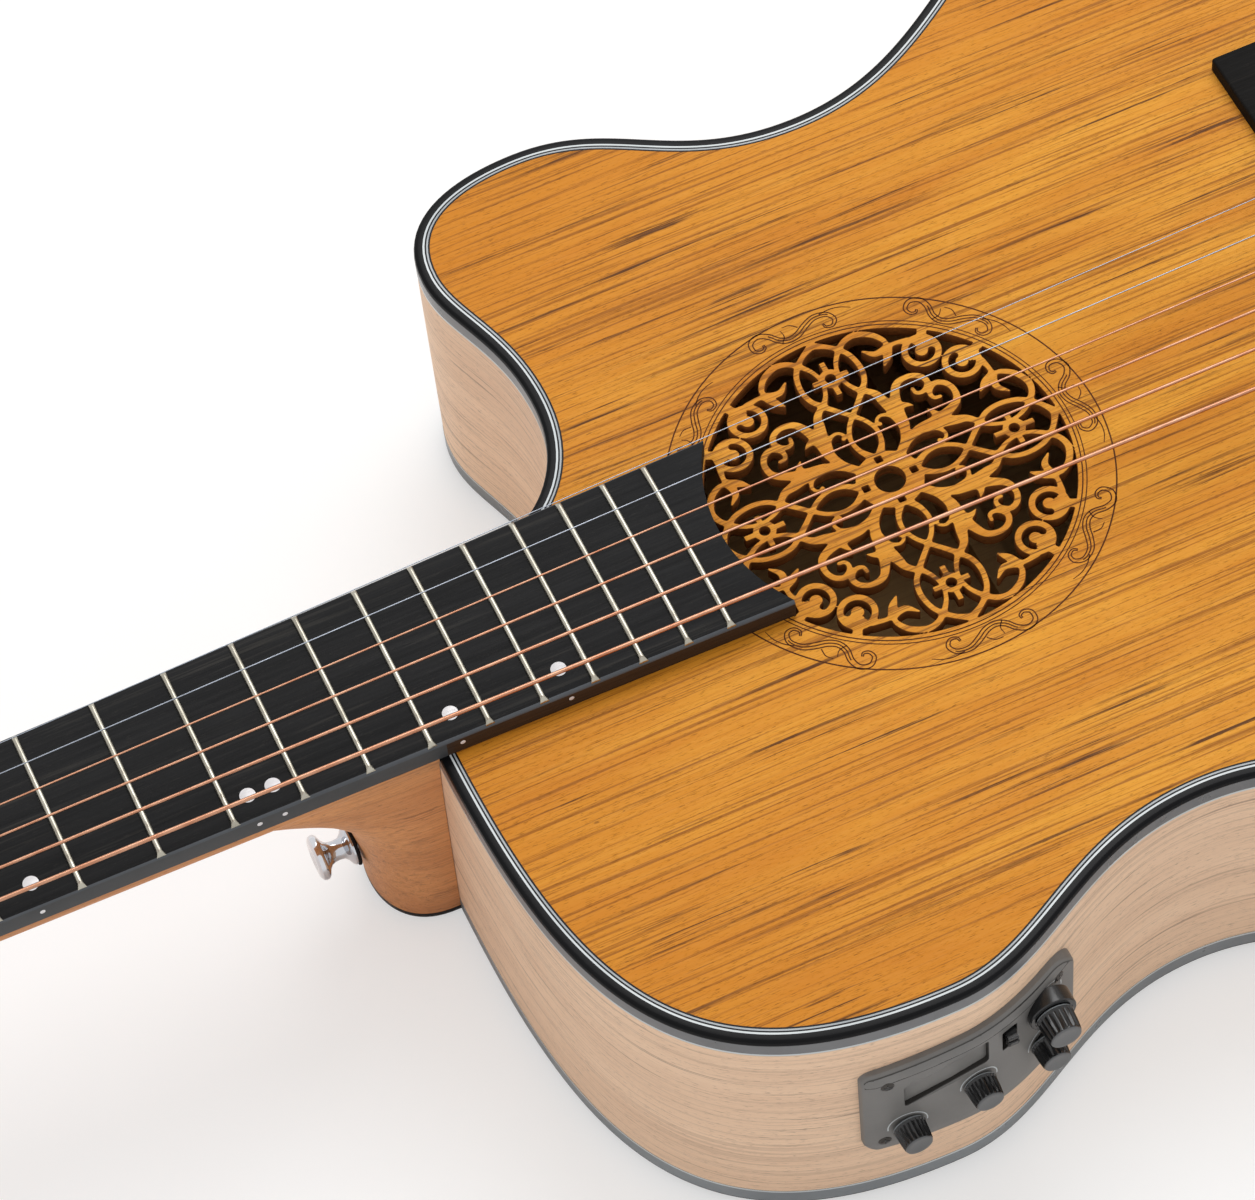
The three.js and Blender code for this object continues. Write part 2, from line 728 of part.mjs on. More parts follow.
// A side with its two linings: one section swept along half of the outline
function side(from, to, centreEdge) {
  const section = [
    [0, -bindingHeight - seam, 0], [liningInset, -bindingHeight - seam, 0], [liningInset, -topThickness, 0],
    [liningReach, -topThickness, 0], [liningReach, -topThickness - liningDepth, 0],
    [sideThickness, -topThickness - liningDepth - liningTaper, 0],
    [sideThickness, backThickness + liningDepth + liningTaper, 1],
    [liningReach, backThickness + liningDepth, 1],
    [liningReach, backThickness + seam, 1], [liningInset, backThickness + seam, 1],
    [liningInset, bindingHeight + seam, 1], [0, bindingHeight + seam, 1],
  ];
  const ring = i => section.map(([inset, height, fromBack]) => {
    const p = insetPoint(i, inset);
    return V3(p.x, p.y, height + (fromBack ? backHeight(p.y) : 0));
  });
  const flat = section.map(([inset, height, fromBack]) => V2(inset, height - fromBack * bodyDepth));
  const rings = [];
  for (let i = from; i <= to; i++) rings.push(ring(i % outline.length));
  const swept = solid(loft(rings, flat));
  const far = lowerBoutHalf + overrun;
  const half = centreEdge < 0
    ? block(bodyFront - overrun, bodyTail + overrun, -far, centreEdge, -bodyDepth, 0)
    : block(bodyFront - overrun, bodyTail + overrun, centreEdge, far, -bodyDepth, 0);
  const cuts = [neckBlock(seam), tailBlock(seam), tenon(seam), jackHole(jackBodyRadius + seam)];
  return without(swept.intersect(half), cuts);
}

// Braces under the soundboard: an X, bars beside the hole, a shoulder bar and two tone bars
function barBetween(from, to, width, low, high) {
  const along = to.clone().sub(from).normalize().multiplyScalar(width / 2);
  const across = V2(-along.y, along.x);
  const start = [from.clone().add(across), from.clone().sub(across)];
  const points = [...start, to.clone().sub(across), to.clone().add(across)];
  return plate(points, low, high);
}

const braceTop = -topThickness;
const braceSpread = THREE.MathUtils.degToRad(braceSpreadDegrees);

function topBracing() {
  const bars = [];
  const bar = (from, to) => bars.push(barBetween(from, to, braceWidth, braceTop - braceHeight, braceTop));
  const tailReach = bodyLength * braceTailReachShare;
  for (const sideSign of [1, -1]) {
    const dx = Math.cos(braceSpread);
    const dy = sideSign * Math.sin(braceSpread);
    const front = V2(braceCross - dx * braceFrontReach, -dy * braceFrontReach);
    bar(front, V2(braceCross + dx * tailReach, dy * tailReach));
    const holeBarEnd = braceCross - holeBraceAt / Math.tan(braceSpread);
    bar(V2(shoulderBraceAt, sideSign * holeBraceAt), V2(holeBarEnd, sideSign * holeBraceAt));
  }
  bar(V2(shoulderBraceAt, -shoulderBraceHalf), V2(shoulderBraceAt, shoulderBraceHalf));
  const turn = Math.PI / 2 - THREE.MathUtils.degToRad(toneBraceTurnDegrees);
  const tailRoom = bodyTail - bridgePlateEnd;
  const toneBraceLength = tailRoom * toneBraceLengthShare;
  for (const share of toneBraceBehindShares) {
    const from = V2(bridgePlateEnd + tailRoom * share, 0);
    from.y = (from.x - braceCross) * Math.tan(braceSpread);
    bar(from, V2(from.x + toneBraceLength * Math.cos(turn), from.y - toneBraceLength * Math.sin(turn)));
  }
  const within = plate(insetOutline(sideThickness + liningReach + seam), braceTop - braceHeight, braceTop);
  return union(bars).intersect(within);
}

function bridgePlate() {
  const x0 = bridgePlateEnd - bridgePlateLength;
  const x1 = bridgePlateEnd;
  const braceSide = braceWidth / 2 / Math.cos(braceSpread) + seam;
  const reach = x => (x - braceCross) * Math.tan(braceSpread) - braceSide;
  const points = [V2(x0, -reach(x0)), V2(x1, -reach(x1)), V2(x1, reach(x1)), V2(x0, reach(x0))];
  const low = braceTop - bridgePlateThickness;
  return without(plate(points, low, braceTop), pinHoles(low - overrun, overrun));
}

function backBracing() {
  const x0 = bodyFront + sideThickness + neckBlockLength + 2 * seam;
  const x1 = bodyTail - sideThickness - tailBlockLength - 2 * seam;
  const stripSlab = archSlab(backThickness + seam, backThickness + backStripHeight);
  const strip = block(x0, x1, -backStripWidth / 2, backStripWidth / 2, -bodyDepth, 0).intersect(stripSlab);
  const bars = backBraceShares.map((share, i) => {
    const x = bodyFront + bodyLength * share;
    const half = backBraceHalves[i];
    return block(x - braceWidth / 2, x + braceWidth / 2, -half, half, -bodyDepth, 0);
  });
  return union(bars).intersect(archSlab(backThickness + seam, backThickness + braceHeight)).add(strip);
}

// Neck: a D section with a heel, a tilted head and a glued tenon
const halfWidthAt = x => mix(nutWidth, widthAtTwelfth, x / fretPlace(12)) / 2;
const neckDepthAt = x => mix(neckDepthAtNut, neckDepthAtHeel, Math.max(x, 0) / bodyFront);
const neckSectionSteps = 12;

// Powers that shape the neck's and the heel's sections: 1 is a plain curve, less is fuller
const neckShoulder = 0.8;
const neckFullness = 0.9;
const heelSquareness = 0.85;
const heelFullness = 0.75;
const heelTaper = 0.6;

function neckRing(x, top, half, depth) {
  const ring = [];
  for (let i = 0; i <= neckSectionSteps; i++) {
    const angle = Math.PI * i / neckSectionSteps;
    const squared = Math.sign(Math.cos(angle)) * Math.abs(Math.cos(angle)) ** neckShoulder;
    ring.push(V3(x, half * squared, top - depth * Math.sin(angle) ** neckFullness));
  }
  return ring;
}

// Level sections of the heel: how far each reaches from the body, at its share of the depth
const heelDepthShares = [0, 0.12, 0.2, 0.3, 0.45, 0.7, 1];
const heelReachShares = [1, 0.8, 0.55, 0.33, 0.15, 0.04, 0];
const heelFloor = -(bodyDepth - heelRise - heelCapThickness);

function heelRing(z, reach, half) {
  const ring = [];
  for (let i = 0; i <= neckSectionSteps; i++) {
    const angle = Math.PI * (i / neckSectionSteps - 0.5);
    const bow = Math.abs(Math.cos(angle)) ** heelFullness;
    const out = Math.sign(Math.sin(angle)) * Math.abs(Math.sin(angle)) ** heelSquareness;
    ring.push(V3(bodyFront - seam - reach * bow, half * out, z));
  }
  return ring;
}

function heelSizes(share) {
  const k = Math.min(heelDepthShares.findLastIndex(s => s <= share), heelDepthShares.length - 2);
  const part = (share - heelDepthShares[k]) / (heelDepthShares[k + 1] - heelDepthShares[k]);
  const reachShare = mix(heelReachShares[k], heelReachShares[k + 1], part);
  return {
    reach: mix(heelLengthAtCap, heelLengthAtNeck, reachShare),
    half: mix(halfWidthAt(bodyFront), heelWidthAtCap / 2, share ** heelTaper),
  };
}

function heel() {
  const rings = heelDepthShares.map(share => {
    const { reach, half } = heelSizes(share);
    return heelRing(heelFloor * share, reach, half);
  });
  return solid(loft(rings, rings[0].map(p => V2(p.x, p.y))));
}

// Head outline in the head's own frame, from the nut towards the top
const headShoulderShare = 0.2;
const headSideShares = [[0, 0], [0.05, 0.1], [0.13, 0.75], [headShoulderShare, 1]];
const headTopShares = [[1, 1], [0.985, 0.55], [0.955, 0.2], [0.965, 0]];

function headOutline(grow = 0) {
  const sideHalf = out => mix(headHalfAtNut, headHalfAtShoulder, out);
  const sidePoints = headSideShares.map(([along, out]) => [-headLength * along, sideHalf(out)]);
  const topPoints = headTopShares.map(([along, out]) => [-headLength * along, headHalfAtTop * out]);
  const half = [...sidePoints, ...topPoints].map(([x, y]) => V2(x, y + (y ? grow : 0)));
  const mirrored = half.slice(0, -1).reverse().map(p => V2(p.x, -p.y));
  return [...half, ...mirrored];
}

const headEdgeAt = x => {
  const share = (-x / headLength - headShoulderShare) / (1 - headShoulderShare);
  return mix(headHalfAtShoulder, headHalfAtTop, share);
};
const inHead = shape => shape.transform(head.matrix.toArray());

function rodChannel(grow) {
  const half = rodWidth / 2 + grow;
  return block(-nutLength - overrun, rodEndAt + grow, -half, half, -rodDepth - grow, overrun);
}

function rodPocket(low, high) {
  const [x0, x1] = [-nutLength - rodPocketLength, -nutLength - overrun / 2];
  return block(x0, x1, -rodPocketHalf, rodPocketHalf, low, high);
}

function neck() {
  const fall = Math.tan(headTilt) * overrun * 2;
  const between = [fretPlace(1), fretPlace(5), fretPlace(9)];
  const stations = [-nutLength - overrun * 2, -nutLength, ...between, bodyFront - seam];
  const rings = stations.map((x, i) => neckRing(x, i ? 0 : -fall - seam, halfWidthAt(x), neckDepthAt(x)));
  const shaft = solid(loft(rings, rings[0].map(p => V2(p.y, p.z))));
  const plank = inHead(plate(headOutline(), -headThickness, 0));
  const posts = tunerPlaces.map(({ x, y }) => {
    const hole = circlePoints(bushRadius + seam, roundSides, x, y);
    return inHead(plate(hole, -headThickness - overrun, overrun));
  });
  const [holeWide, holeEnd] = [strapScrewRadius + seam, -strapScrewLength - seam];
  const screwHole = solid(strapShape([[0, overrun], [holeWide, overrun], [holeWide, holeEnd], [0, holeEnd]]));
  const whole = union([shaft, plank, heel(), tenon()]);
  const [x0, x1] = [-nutLength - overrun, bodyFront + overrun];
  const aboveNeck = block(x0, x1, -headHalfAtTop, headHalfAtTop, 0, overrun * 2);
  const pocket = rodPocket(-rodDepth - overrun / 2, overrun);
  return without(whole, [aboveNeck, rodChannel(seam), pocket, screwHole, ...posts]);
}

function heelCap() {
  const { reach, half } = heelSizes(1);
  const ring = z => heelRing(z, reach, half);
  const rings = [ring(heelFloor), ring(heelFloor - heelCapThickness)];
  return loft(rings, rings[0].map(p => V2(p.x, p.y)));
}

function trussRod() {
  const half = rodWidth / 2;
  const bar = block(-nutLength - overrun, rodEndAt, -half, half, -rodDepth, -seam);
  const hex = new THREE.CylinderGeometry(rodNutRadius, rodNutRadius, rodNutLength, 6).rotateZ(Math.PI / 2);
  return bar.add(solid(hex.translate(-nutLength - overrun - rodNutLength / 2, 0, -rodNutDrop)));
}

// Fingerboard: cambered top, end curved round the sound hole, frets pressed in
const camberDrop = y => boardCamberRadius - Math.sqrt(boardCamberRadius ** 2 - y * y);
const camberShares = [1, 0.4, -0.4, -1];
const fretShares = [0.98, 0.4, -0.4, -0.98];

function boardRing(x, low, raise, shares) {
  const half = halfWidthAt(x);
  const top = shares.map(share => V3(x, half * share, boardTop + raise - camberDrop(half * share)));
  return [V3(x, half * shares.at(-1), low), V3(x, half * shares[0], low), ...top];
}

function fret(n) {
  const x = fretPlace(n);
  const low = boardTop - fretHeight * 2;
  const rings = [-1, 1].map(way => boardRing(x + way * fretWidth / 2, low, fretHeight, fretShares));
  return solid(loft(rings, rings[0].map(p => V2(p.y, p.z))));
}

function fingerboard() {
  const rings = [boardRing(0, 0, 0, camberShares), boardRing(holeCentre, 0, 0, camberShares)];
  const wood = solid(loft(rings, rings[0].map(p => V2(p.y, p.z))));
  const endCircle = circlePoints(holeRadius - boardEndGap, holeSides, holeCentre);
  const end = plate(endCircle, -overrun, boardTop + overrun);
  const frets = Array.from({ length: fretCount }, (_, i) => fret(i + 1));
  return union([wood, ...frets]).subtract(end);
}

function nut() {
  const fall = Math.tan(THREE.MathUtils.degToRad(nutFallDegrees)) * nutLength;
  const section = [V2(-nutLength, 0), V2(-nutLength, nutTop - fall), V2(-seam, nutTop), V2(-seam, 0)];
  const half = nutWidth / 2;
  const ring = y => section.map(p => V3(p.x, y, p.y));
  return loft([ring(-half), ring(half)], section);
}

// Tuners, in the head's own frame: the outer strings go to the posts nearest the nut
const tunerPlaces = stringDiameters.map((_, i) => {
  const sideSign = i < stringCount / 2 ? 1 : -1;
  const place = sideSign > 0 ? i : stringCount - 1 - i;
  const x = -(tunerFirstAt + tunerSpacing * place);
  return { x, y: sideSign * (tunerHalf + tunerFan * place), side: sideSign };
});

const coverShares = [[0, 0.62], [0.3, 0.8], [0.62, 1], [0.86, 0.8], [1, 0]];

function rodCover() {
  const half = coverShares.map(([along, out]) => V2(-overrun - coverLength * along, coverHalf * out));
  const mirrored = half.slice(0, -1).reverse().map(p => V2(p.x, -p.y));
  return plate([...half, ...mirrored], overlayTop + seam, overlayTop + seam + coverThickness);
}

function headOverlay() {
  const wood = plate(headOutline(), seam, overlayTop);
  const posts = tunerPlaces.map(({ x, y }) => {
    return plate(circlePoints(bushRadius + seam, roundSides, x, y), 0, overlayTop + overrun);
  });
  const clearOfNut = block(-seam, overrun, -headHalfAtTop, headHalfAtTop, 0, overlayTop + overrun);
  const access = block(-rodPocketLength, overrun, -rodPocketHalf, rodPocketHalf, 0, overlayTop + overrun);
  return without(wood, [clearOfNut, access, ...posts]);
}

const headUnder = -headThickness - seam;
const wormHeight = headUnder - caseHeight / 2;

function tunerHousing({ x, y, side: sideSign }) {
  const half = V2(caseLength / 2, caseWidth / 2);
  const corner = caseCorner;
  const rounded = new THREE.Shape();
  rounded.absarc(half.x - corner, half.y - corner, corner, 0, Math.PI / 2);
  rounded.absarc(corner - half.x, half.y - corner, corner, Math.PI / 2, Math.PI);
  rounded.absarc(corner - half.x, corner - half.y, corner, Math.PI, Math.PI * 1.5);
  rounded.absarc(half.x - corner, corner - half.y, corner, Math.PI * 1.5, Math.PI * 2);
  const points = rounded.extractPoints(2).shape;
  const centreX = x - wormOffset / 2;
  const box = plate(points.map(p => V2(centreX + p.x, y + p.y)), headUnder - caseHeight, headUnder);
  const round = (radius, low, high) => plate(circlePoints(radius, roundSides, x, y), low, high);
  const stem = round(bushRadius, headUnder - seam, overlayTop + bushFlangeHeight);
  const flange = round(bushFlangeRadius, overlayTop + seam, overlayTop + seam + bushFlangeHeight);
  const bore = round(postRadius + seam, headUnder - postTailLength - seam, overlayTop + overrun);
  const edge = y + sideSign * caseWidth / 2;
  const holeRound = shaftRadius + seam;
  const shaftLine = new THREE.CylinderGeometry(holeRound, holeRound, shaftDepth + seam + overrun, shaftSides);
  const shaftMiddle = edge + sideSign * (overrun - shaftDepth - seam) / 2;
  const shaft = solid(shaftLine.translate(x - wormOffset, shaftMiddle, wormHeight));
  return without(union([box, stem, flange]), [bore, shaft]);
}

function tunerPost({ x, y }) {
  const top = overlayTop + postAboveHead;
  const low = headUnder - postTailLength;
  const waist = postRadius * postWaistShare;
  const eye = top - postHoleBelowTop;
  const profile = [
    [0, low],
    [postRadius, low],
    [postRadius, eye - 2 * postHoleRadius],
    [waist, eye],
    [postRadius, eye + 2 * postHoleRadius],
    [postRadius * postCrownShare, top],
    [0, top],
  ];
  const shape = solid(turned(profile, roundSides).rotateX(Math.PI / 2).translate(x, y, 0));
  const eyeCut = new THREE.CylinderGeometry(postHoleRadius, postHoleRadius, postRadius * 3, 8);
  return shape.subtract(solid(eyeCut.translate(x, y, eye)));
}

function tunerButton({ x, y, side: sideSign }) {
  const edge = y + sideSign * caseWidth / 2;
  const start = Math.abs(headEdgeAt(x)) + headEdgeClearance + buttonGap;
  const oval = new THREE.Shape();
  const [halfLength, halfHeight] = [buttonLength / 2 - buttonBevel, buttonHeight / 2 - buttonBevel];
  oval.absellipse(start + buttonLength / 2, 0, halfLength, halfHeight, 0, 2 * Math.PI);
  const options = {
    depth: buttonThickness - 2 * buttonBevel,
    bevelSize: buttonBevel,
    bevelThickness: buttonBevel,
    bevelSegments: 1,
    curveSegments: 8,
    steps: 1,
  };
  const grip = new THREE.ExtrudeGeometry(oval, options).translate(0, 0, buttonBevel - buttonThickness / 2);
  grip.rotateX(Math.PI / 2).rotateZ(sideSign * Math.PI / 2);
  grip.rotateY(Math.PI / 2);
  const shaftStart = Math.abs(edge) - shaftDepth;
  const shaftLength = start + buttonLength / 4 - shaftStart;
  const shaft = new THREE.CylinderGeometry(shaftRadius, shaftRadius, shaftLength, shaftSides);
  const along = sideSign * (shaftStart + shaftLength / 2);
  const parts = solid(grip).add(solid(shaft.translate(0, along, 0)));
  return parts.translate([x - wormOffset, 0, wormHeight]);
}

// Bridge: thick in the middle with thinner wings, slotted for the saddle and drilled for the pins
const bridgeSlopeMiddle = (bridgeWingHalf + bridgeCoreHalf) / 2;
const bridgeStations = [-bridgeHalf, -bridgeWingHalf, -bridgeSlopeMiddle, -bridgeCoreHalf];

function bridgeRing(y, height) {
  const x0 = bridgeFrontAt;
  const x1 = bridgeFrontAt + bridgeLength;
  const edge = height - bridgeRound;
  const crown = [[x1, edge], [x1 - bridgeRound, height], [x0 + bridgeRound, height], [x0, edge]];
  const places = [[x0, 0], [x1, 0], ...crown];
  return places.map(([x, z]) => V3(x, y, z));
}

function bridgeHeightAt(y) {
  const slope = (bridgeWingHalf - Math.abs(y)) / (bridgeWingHalf - bridgeCoreHalf);
  const share = THREE.MathUtils.clamp(slope, 0, 1);
  return mix(bridgeWingHeight, bridgeHeight, share * share * (3 - 2 * share));
}

function bridge() {
  const stations = [...bridgeStations, ...bridgeStations.slice().reverse().map(y => -y)];
  const rings = stations.map(y => bridgeRing(y, bridgeHeightAt(y)));
  const wood = solid(loft(rings, rings[0].map(p => V2(p.x, p.z))));
  const slotHalf = saddleThickness / 2 + seam;
  const slotEnd = saddleHalf + seam;
  const [x0, x1] = [saddleCentre - slotHalf, saddleCentre + slotHalf];
  const slot = block(x0, x1, -slotEnd, slotEnd, bridgeHeight - saddleSlotDepth, bridgeHeight + overrun);
  return without(wood, [slot, ...pinHoles(-overrun, bridgeHeight + overrun)]);
}

const pickupFloor = bridgeHeight - saddleSlotDepth;
const saddleStationShares = [-1, -0.9, -0.45, 0, 0.45, 0.9, 1];

function pickup() {
  const half = saddleThickness / 2;
  const strip = new THREE.CapsuleGeometry(pickupThickness / 2, 2 * saddleHalf - saddleThickness, 2, 8);
  const middle = pickupFloor + pickupThickness / 2;
  return strip.scale(half / (pickupThickness / 2), 1, 1).translate(saddleCentre, 0, middle);
}

function saddle() {
  const low = pickupFloor + pickupThickness + seam;
  const half = saddleThickness / 2;
  const crown = saddleCrownWidth / 2;
  const shoulder = saddleTop - saddleCrownDrop;
  const upper = [[half, shoulder], [crown, saddleTop], [-crown, saddleTop], [-half, shoulder]];
  const places = [[-half, low], [half, low], ...upper];
  const section = places.map(([x, z]) => V2(saddleCentre + x, z));
  const ring = (y, drop) => section.map((p, i) => V3(p.x, y, p.y - (i > 1 ? drop : 0)));
  const rounded = camberDrop(saddleHalf);
  const rings = saddleStationShares.map(share => {
    const y = saddleHalf * share;
    return ring(y, Math.abs(share) === 1 ? rounded * 2 : camberDrop(y));
  });
  return loft(rings, section);
}

function bridgePin(i) {
  const base = bridgeHeight;
  const headLow = base + pinHeadAbove;
  const headTop = headLow + pinHeadHeight;
  const profile = [
    [0, base + pinHeadAbove - pinLength],
    [pinTipRadius, base + pinHeadAbove - pinLength],
    [pinRadius, headLow - seam],
    ...pinHeadShares.map(([out, up]) => [pinHeadRadius * out, mix(headLow, headTop, up)]),
  ];
  return turned(profile, pinSides).rotateX(Math.PI / 2).translate(pinLine, stringAtSaddle(i), 0);
}

// A string: one tube from its winding on the post, over nut and saddle, to the ball under the bridge
function tube(stations, sides) {
  const points = stations.map(s => s.at);
  const count = points.length;
  const tangents = points.map((_, i) => {
    const sum = V3(0, 0, 0);
    if (i > 0) sum.add(points[i].clone().sub(points[i - 1]).normalize());
    if (i + 1 < count) sum.add(points[i + 1].clone().sub(points[i]).normalize());
    return sum.normalize();
  });
  let across = V3(0, 0, 1).cross(tangents[0]).normalize();
  const rings = stations.map(({ at, radius }, i) => {
    across.addScaledVector(tangents[i], -across.dot(tangents[i])).normalize();
    const up = tangents[i].clone().cross(across);
    return Array.from({ length: sides }, (_, k) => {
      const angle = 2 * Math.PI * k / sides;
      const beside = at.clone().addScaledVector(across, radius * Math.cos(angle));
      return beside.addScaledVector(up, radius * Math.sin(angle));
    });
  });
  return loft(rings, circlePoints(1, sides));
}

function windingPoints(i, nutPoint) {
  const { x, y, side: sideSign } = tunerPlaces[i];
  const radius = postRadius + seam + stringRadius(i);
  const from = nutPoint.clone().applyMatrix4(head.matrix.clone().invert());
  const reach = Math.hypot(from.x - x, from.y - y);
  const bearing = Math.atan2(from.y - y, from.x - x);
  const first = bearing - sideSign * Math.acos(radius / reach);
  const pitch = stringDiameters[i] + windingGap;
  const low = overlayTop + bushFlangeHeight + 2 * seam + stringDiameters[i];
  const total = windingTurns * windingSteps;
  return Array.from({ length: total + 1 }, (_, k) => {
    const angle = first - sideSign * 2 * Math.PI * k / windingSteps;
    const height = low + pitch * k / windingSteps;
    const local = V3(x + radius * Math.cos(angle), y + radius * Math.sin(angle), height);
    return local.applyMatrix4(head.matrix);
  });
}

function leastGap(points, diameter) {
  let least = Infinity;
  for (let a = 0; a < points.length; a++) {
    for (let b = a + windingSteps / 2; b < points.length; b++) {
      least = Math.min(least, points[a].distanceTo(points[b]));
    }
  }
  return least - diameter;
}

const windingGaps = [];

function stringTube(i) {
  const radius = stringRadius(i);
  const y0 = stringAtNut(i);
  const y1 = stringAtSaddle(i);
  const nutPoint = V3(-seam, y0, nutTop + seam + radius);
  const winding = windingPoints(i, nutPoint).reverse();
  windingGaps.push(leastGap(winding, stringDiameters[i]));
  const drop = stringDropAt(i);
  const crest = saddleTop - camberDrop(y1) + seam + radius;
  const under = braceTop - bridgePlateThickness;
  const ballAt = drop - ballRadius + radius + seam;
  const route = [
    ...winding, nutPoint, V3(saddleCentre, y1, crest),
    V3(drop - 2 * radius - 2 * seam, y1, bridgeHeight + 2 * radius + seam),
    V3(drop - radius / 2, y1, bridgeHeight + radius + seam / 2),
    V3(drop, y1, bridgeHeight - radius),
    V3(drop, y1, under - seam),
    V3(ballAt, y1, under - 3 * seam - radius),
  ];
  const stations = route.map(at => ({ at, radius }));
  const ballTop = under - 4 * seam - radius;
  stations.push({ at: V3(ballAt, y1, ballTop), radius: ballRadius });
  stations.push({ at: V3(ballAt, y1, ballTop - ballLength), radius: ballRadius });
  return tube(stations, stringSides);
}

// Preamp: a curved panel on the bass side with its case behind it
function wallPoint(x, outward) {
  const near = outline.findIndex((p, i) => i > 0 && i < tailIndex && p.x > bodyFront + x) - 1;
  const a = insetPoint(near, -outward);
  const b = insetPoint(near + 1, -outward);
  return mix(a.y, b.y, (bodyFront + x - a.x) / (b.x - a.x));
}

function panelFace() {
  const face = new THREE.Shape();
  const x0 = bodyFront + panelFrontAt;
  const x1 = bodyFront + panelTailAt;
  const top = -panelTopDrop;
  const low = -panelTopDrop - panelHeight;
  const r = panelCornerRadius;
  const t = panelTailRadius;
  face.absarc(x1 - t, top - t, t, 0, Math.PI / 2);
  face.absarc(x0 + r, top - r, r, Math.PI / 2, Math.PI);
  face.absarc(x0 + r, low + r, r, Math.PI, Math.PI * 1.5);
  face.absarc(x1 - t, low + t, t, Math.PI * 1.5, Math.PI * 2);
  const depth = bassBoutHalf + overrun;
  const options = { depth, bevelEnabled: false, curveSegments: 4, steps: 1 };
  return solid(new THREE.ExtrudeGeometry(face, options).rotateX(Math.PI / 2));
}

// The panel slopes under a knob, which stands clear of its foremost point
function knobSeatAt(i) {
  const under = [-1, 0, 1].map(way => wallPoint(knobPlaces[i] + way * knobRadii[i], panelThickness));
  return Math.min(...under) - seam;
}

function panelCase(grow = 0) {
  const x0 = bodyFront + panelCaseFrontAt - grow;
  const x1 = bodyFront + panelCaseTailAt + grow;
  const low = -panelCaseTopDrop - panelCaseHeight;
  const [y0, y1] = [-bassBoutHalf - overrun, -panelCaseHalf + grow];
  return block(x0, x1, y0, y1, low - grow, -panelCaseTopDrop + grow);
}

function alongY(radius, x, drop, y0, y1, sides = roundSides) {
  const shape = new THREE.CylinderGeometry(radius, radius, y1 - y0, sides);
  return solid(shape.translate(bodyFront + x, (y0 + y1) / 2, -drop));
}

function preampPanel() {
  const bezel = ringPlate(-panelThickness, -seam, -bodyDepth, 0).intersect(panelFace());
  const behind = panelCase().intersect(plate(insetOutline(-seam - panelThickness / 2), -bodyDepth, 0));
  const collarY = knobSeatAt(collarKnob) + seam - collarHeight;
  const [collarAt, collarDrop] = [knobPlaces[collarKnob], knobDrops[collarKnob]];
  const collarStem = alongY(collarRadius, collarAt, collarDrop, collarY, collarY + 3 * panelThickness);
  const collar = collarStem.subtract(plate(insetOutline(-seam), -bodyDepth, 0));
  const shafts = knobPlaces.map((x, i) => {
    const [outer, inner] = [knobSeatAt(i) - 2 * overrun, knobFootAt(i) + knobShaftDepth + seam];
    return alongY(knobShaftRadius + seam, x, knobDrops[i], outer, inner);
  });
  const slot = switchBox(seam, switchTravel);
  const windowFloor = wallPoint((windowFrontAt + windowTailAt) / 2, panelThickness) + windowRecess;
  const [glassFront, glassTail] = [bodyFront + windowFrontAt, bodyFront + windowTailAt];
  const [glassLow, glassHigh] = [-windowTopDrop - windowHeight, -windowTopDrop];
  const recess = block(glassFront, glassTail, windowFloor - 2 * overrun, windowFloor, glassLow, glassHigh);
  return without(union([bezel, behind, collar]), [...shafts, slot, recess]);
}

const knobFootAt = i => knobSeatAt(i) - (i === collarKnob ? collarHeight : 0);

function knob(i) {
  const rim = [];
  for (let k = 0; k < knobRibs * 2; k++) {
    const angle = Math.PI * k / knobRibs;
    const radius = knobRadii[i] - knobEdgeRound - (k % 2 ? knobRibDepth : 0);
    rim.push(V2(radius * Math.cos(angle), radius * Math.sin(angle)));
  }
  const options = {
    depth: knobLengths[i] - 2 * knobEdgeRound,
    bevelSize: knobEdgeRound,
    bevelThickness: knobEdgeRound,
    bevelSegments: 1,
    steps: 1,
  };
  const fluted = new THREE.ExtrudeGeometry(new THREE.Shape(rim), options);
  const grip = fluted.translate(0, 0, knobEdgeRound).rotateX(Math.PI / 2);
  const foot = knobFootAt(i);
  const body = solid(grip.translate(bodyFront + knobPlaces[i], foot, -knobDrops[i]));
  const [shaftOuter, shaftInner] = [foot - knobLengths[i] / 2, foot + knobShaftDepth];
  return body.add(alongY(knobShaftRadius, knobPlaces[i], knobDrops[i], shaftOuter, shaftInner));
}

function switchBox(grow, travel) {
  const x = bodyFront + switchAt;
  const seat = wallPoint(switchAt, panelThickness);
  const half = switchWidth / 2 + grow;
  const top = -switchDrop + switchLength / 2 + grow;
  const low = -switchDrop - switchLength / 2 - grow - travel;
  return block(x - half, x + half, seat - switchReach - grow, seat + switchDepth + grow, low, top);
}

// Strap button on the heel, turned on a line along the neck
const heelShareAt = drop => drop / -heelFloor;

function strapShape(profile) {
  const { reach } = heelSizes(heelShareAt(buttonDrop - strapBaseRadius));
  const along = turned(profile, roundSides).rotateZ(Math.PI / 2);
  return along.translate(bodyFront - seam - reach - seam, 0, -buttonDrop);
}

function strapButton() {
  const waistEnd = strapLength - strapRimWidth;
  const profile = [
    [0, -strapScrewLength],
    [strapScrewRadius, -strapScrewLength],
    [strapScrewRadius, 0],
    [strapBaseRadius, 0],
    [strapBaseRadius, strapBaseWidth],
    [strapWaistRadius, strapBaseWidth * 2],
    [strapWaistRadius, waistEnd - strapBaseWidth],
    [strapRadius, waistEnd],
    [strapRadius, strapLength - strapRimWidth / 2],
    [strapRadius * strapCrownShare, strapLength],
    [0, strapLength],
  ];
  return strapShape(profile);
}

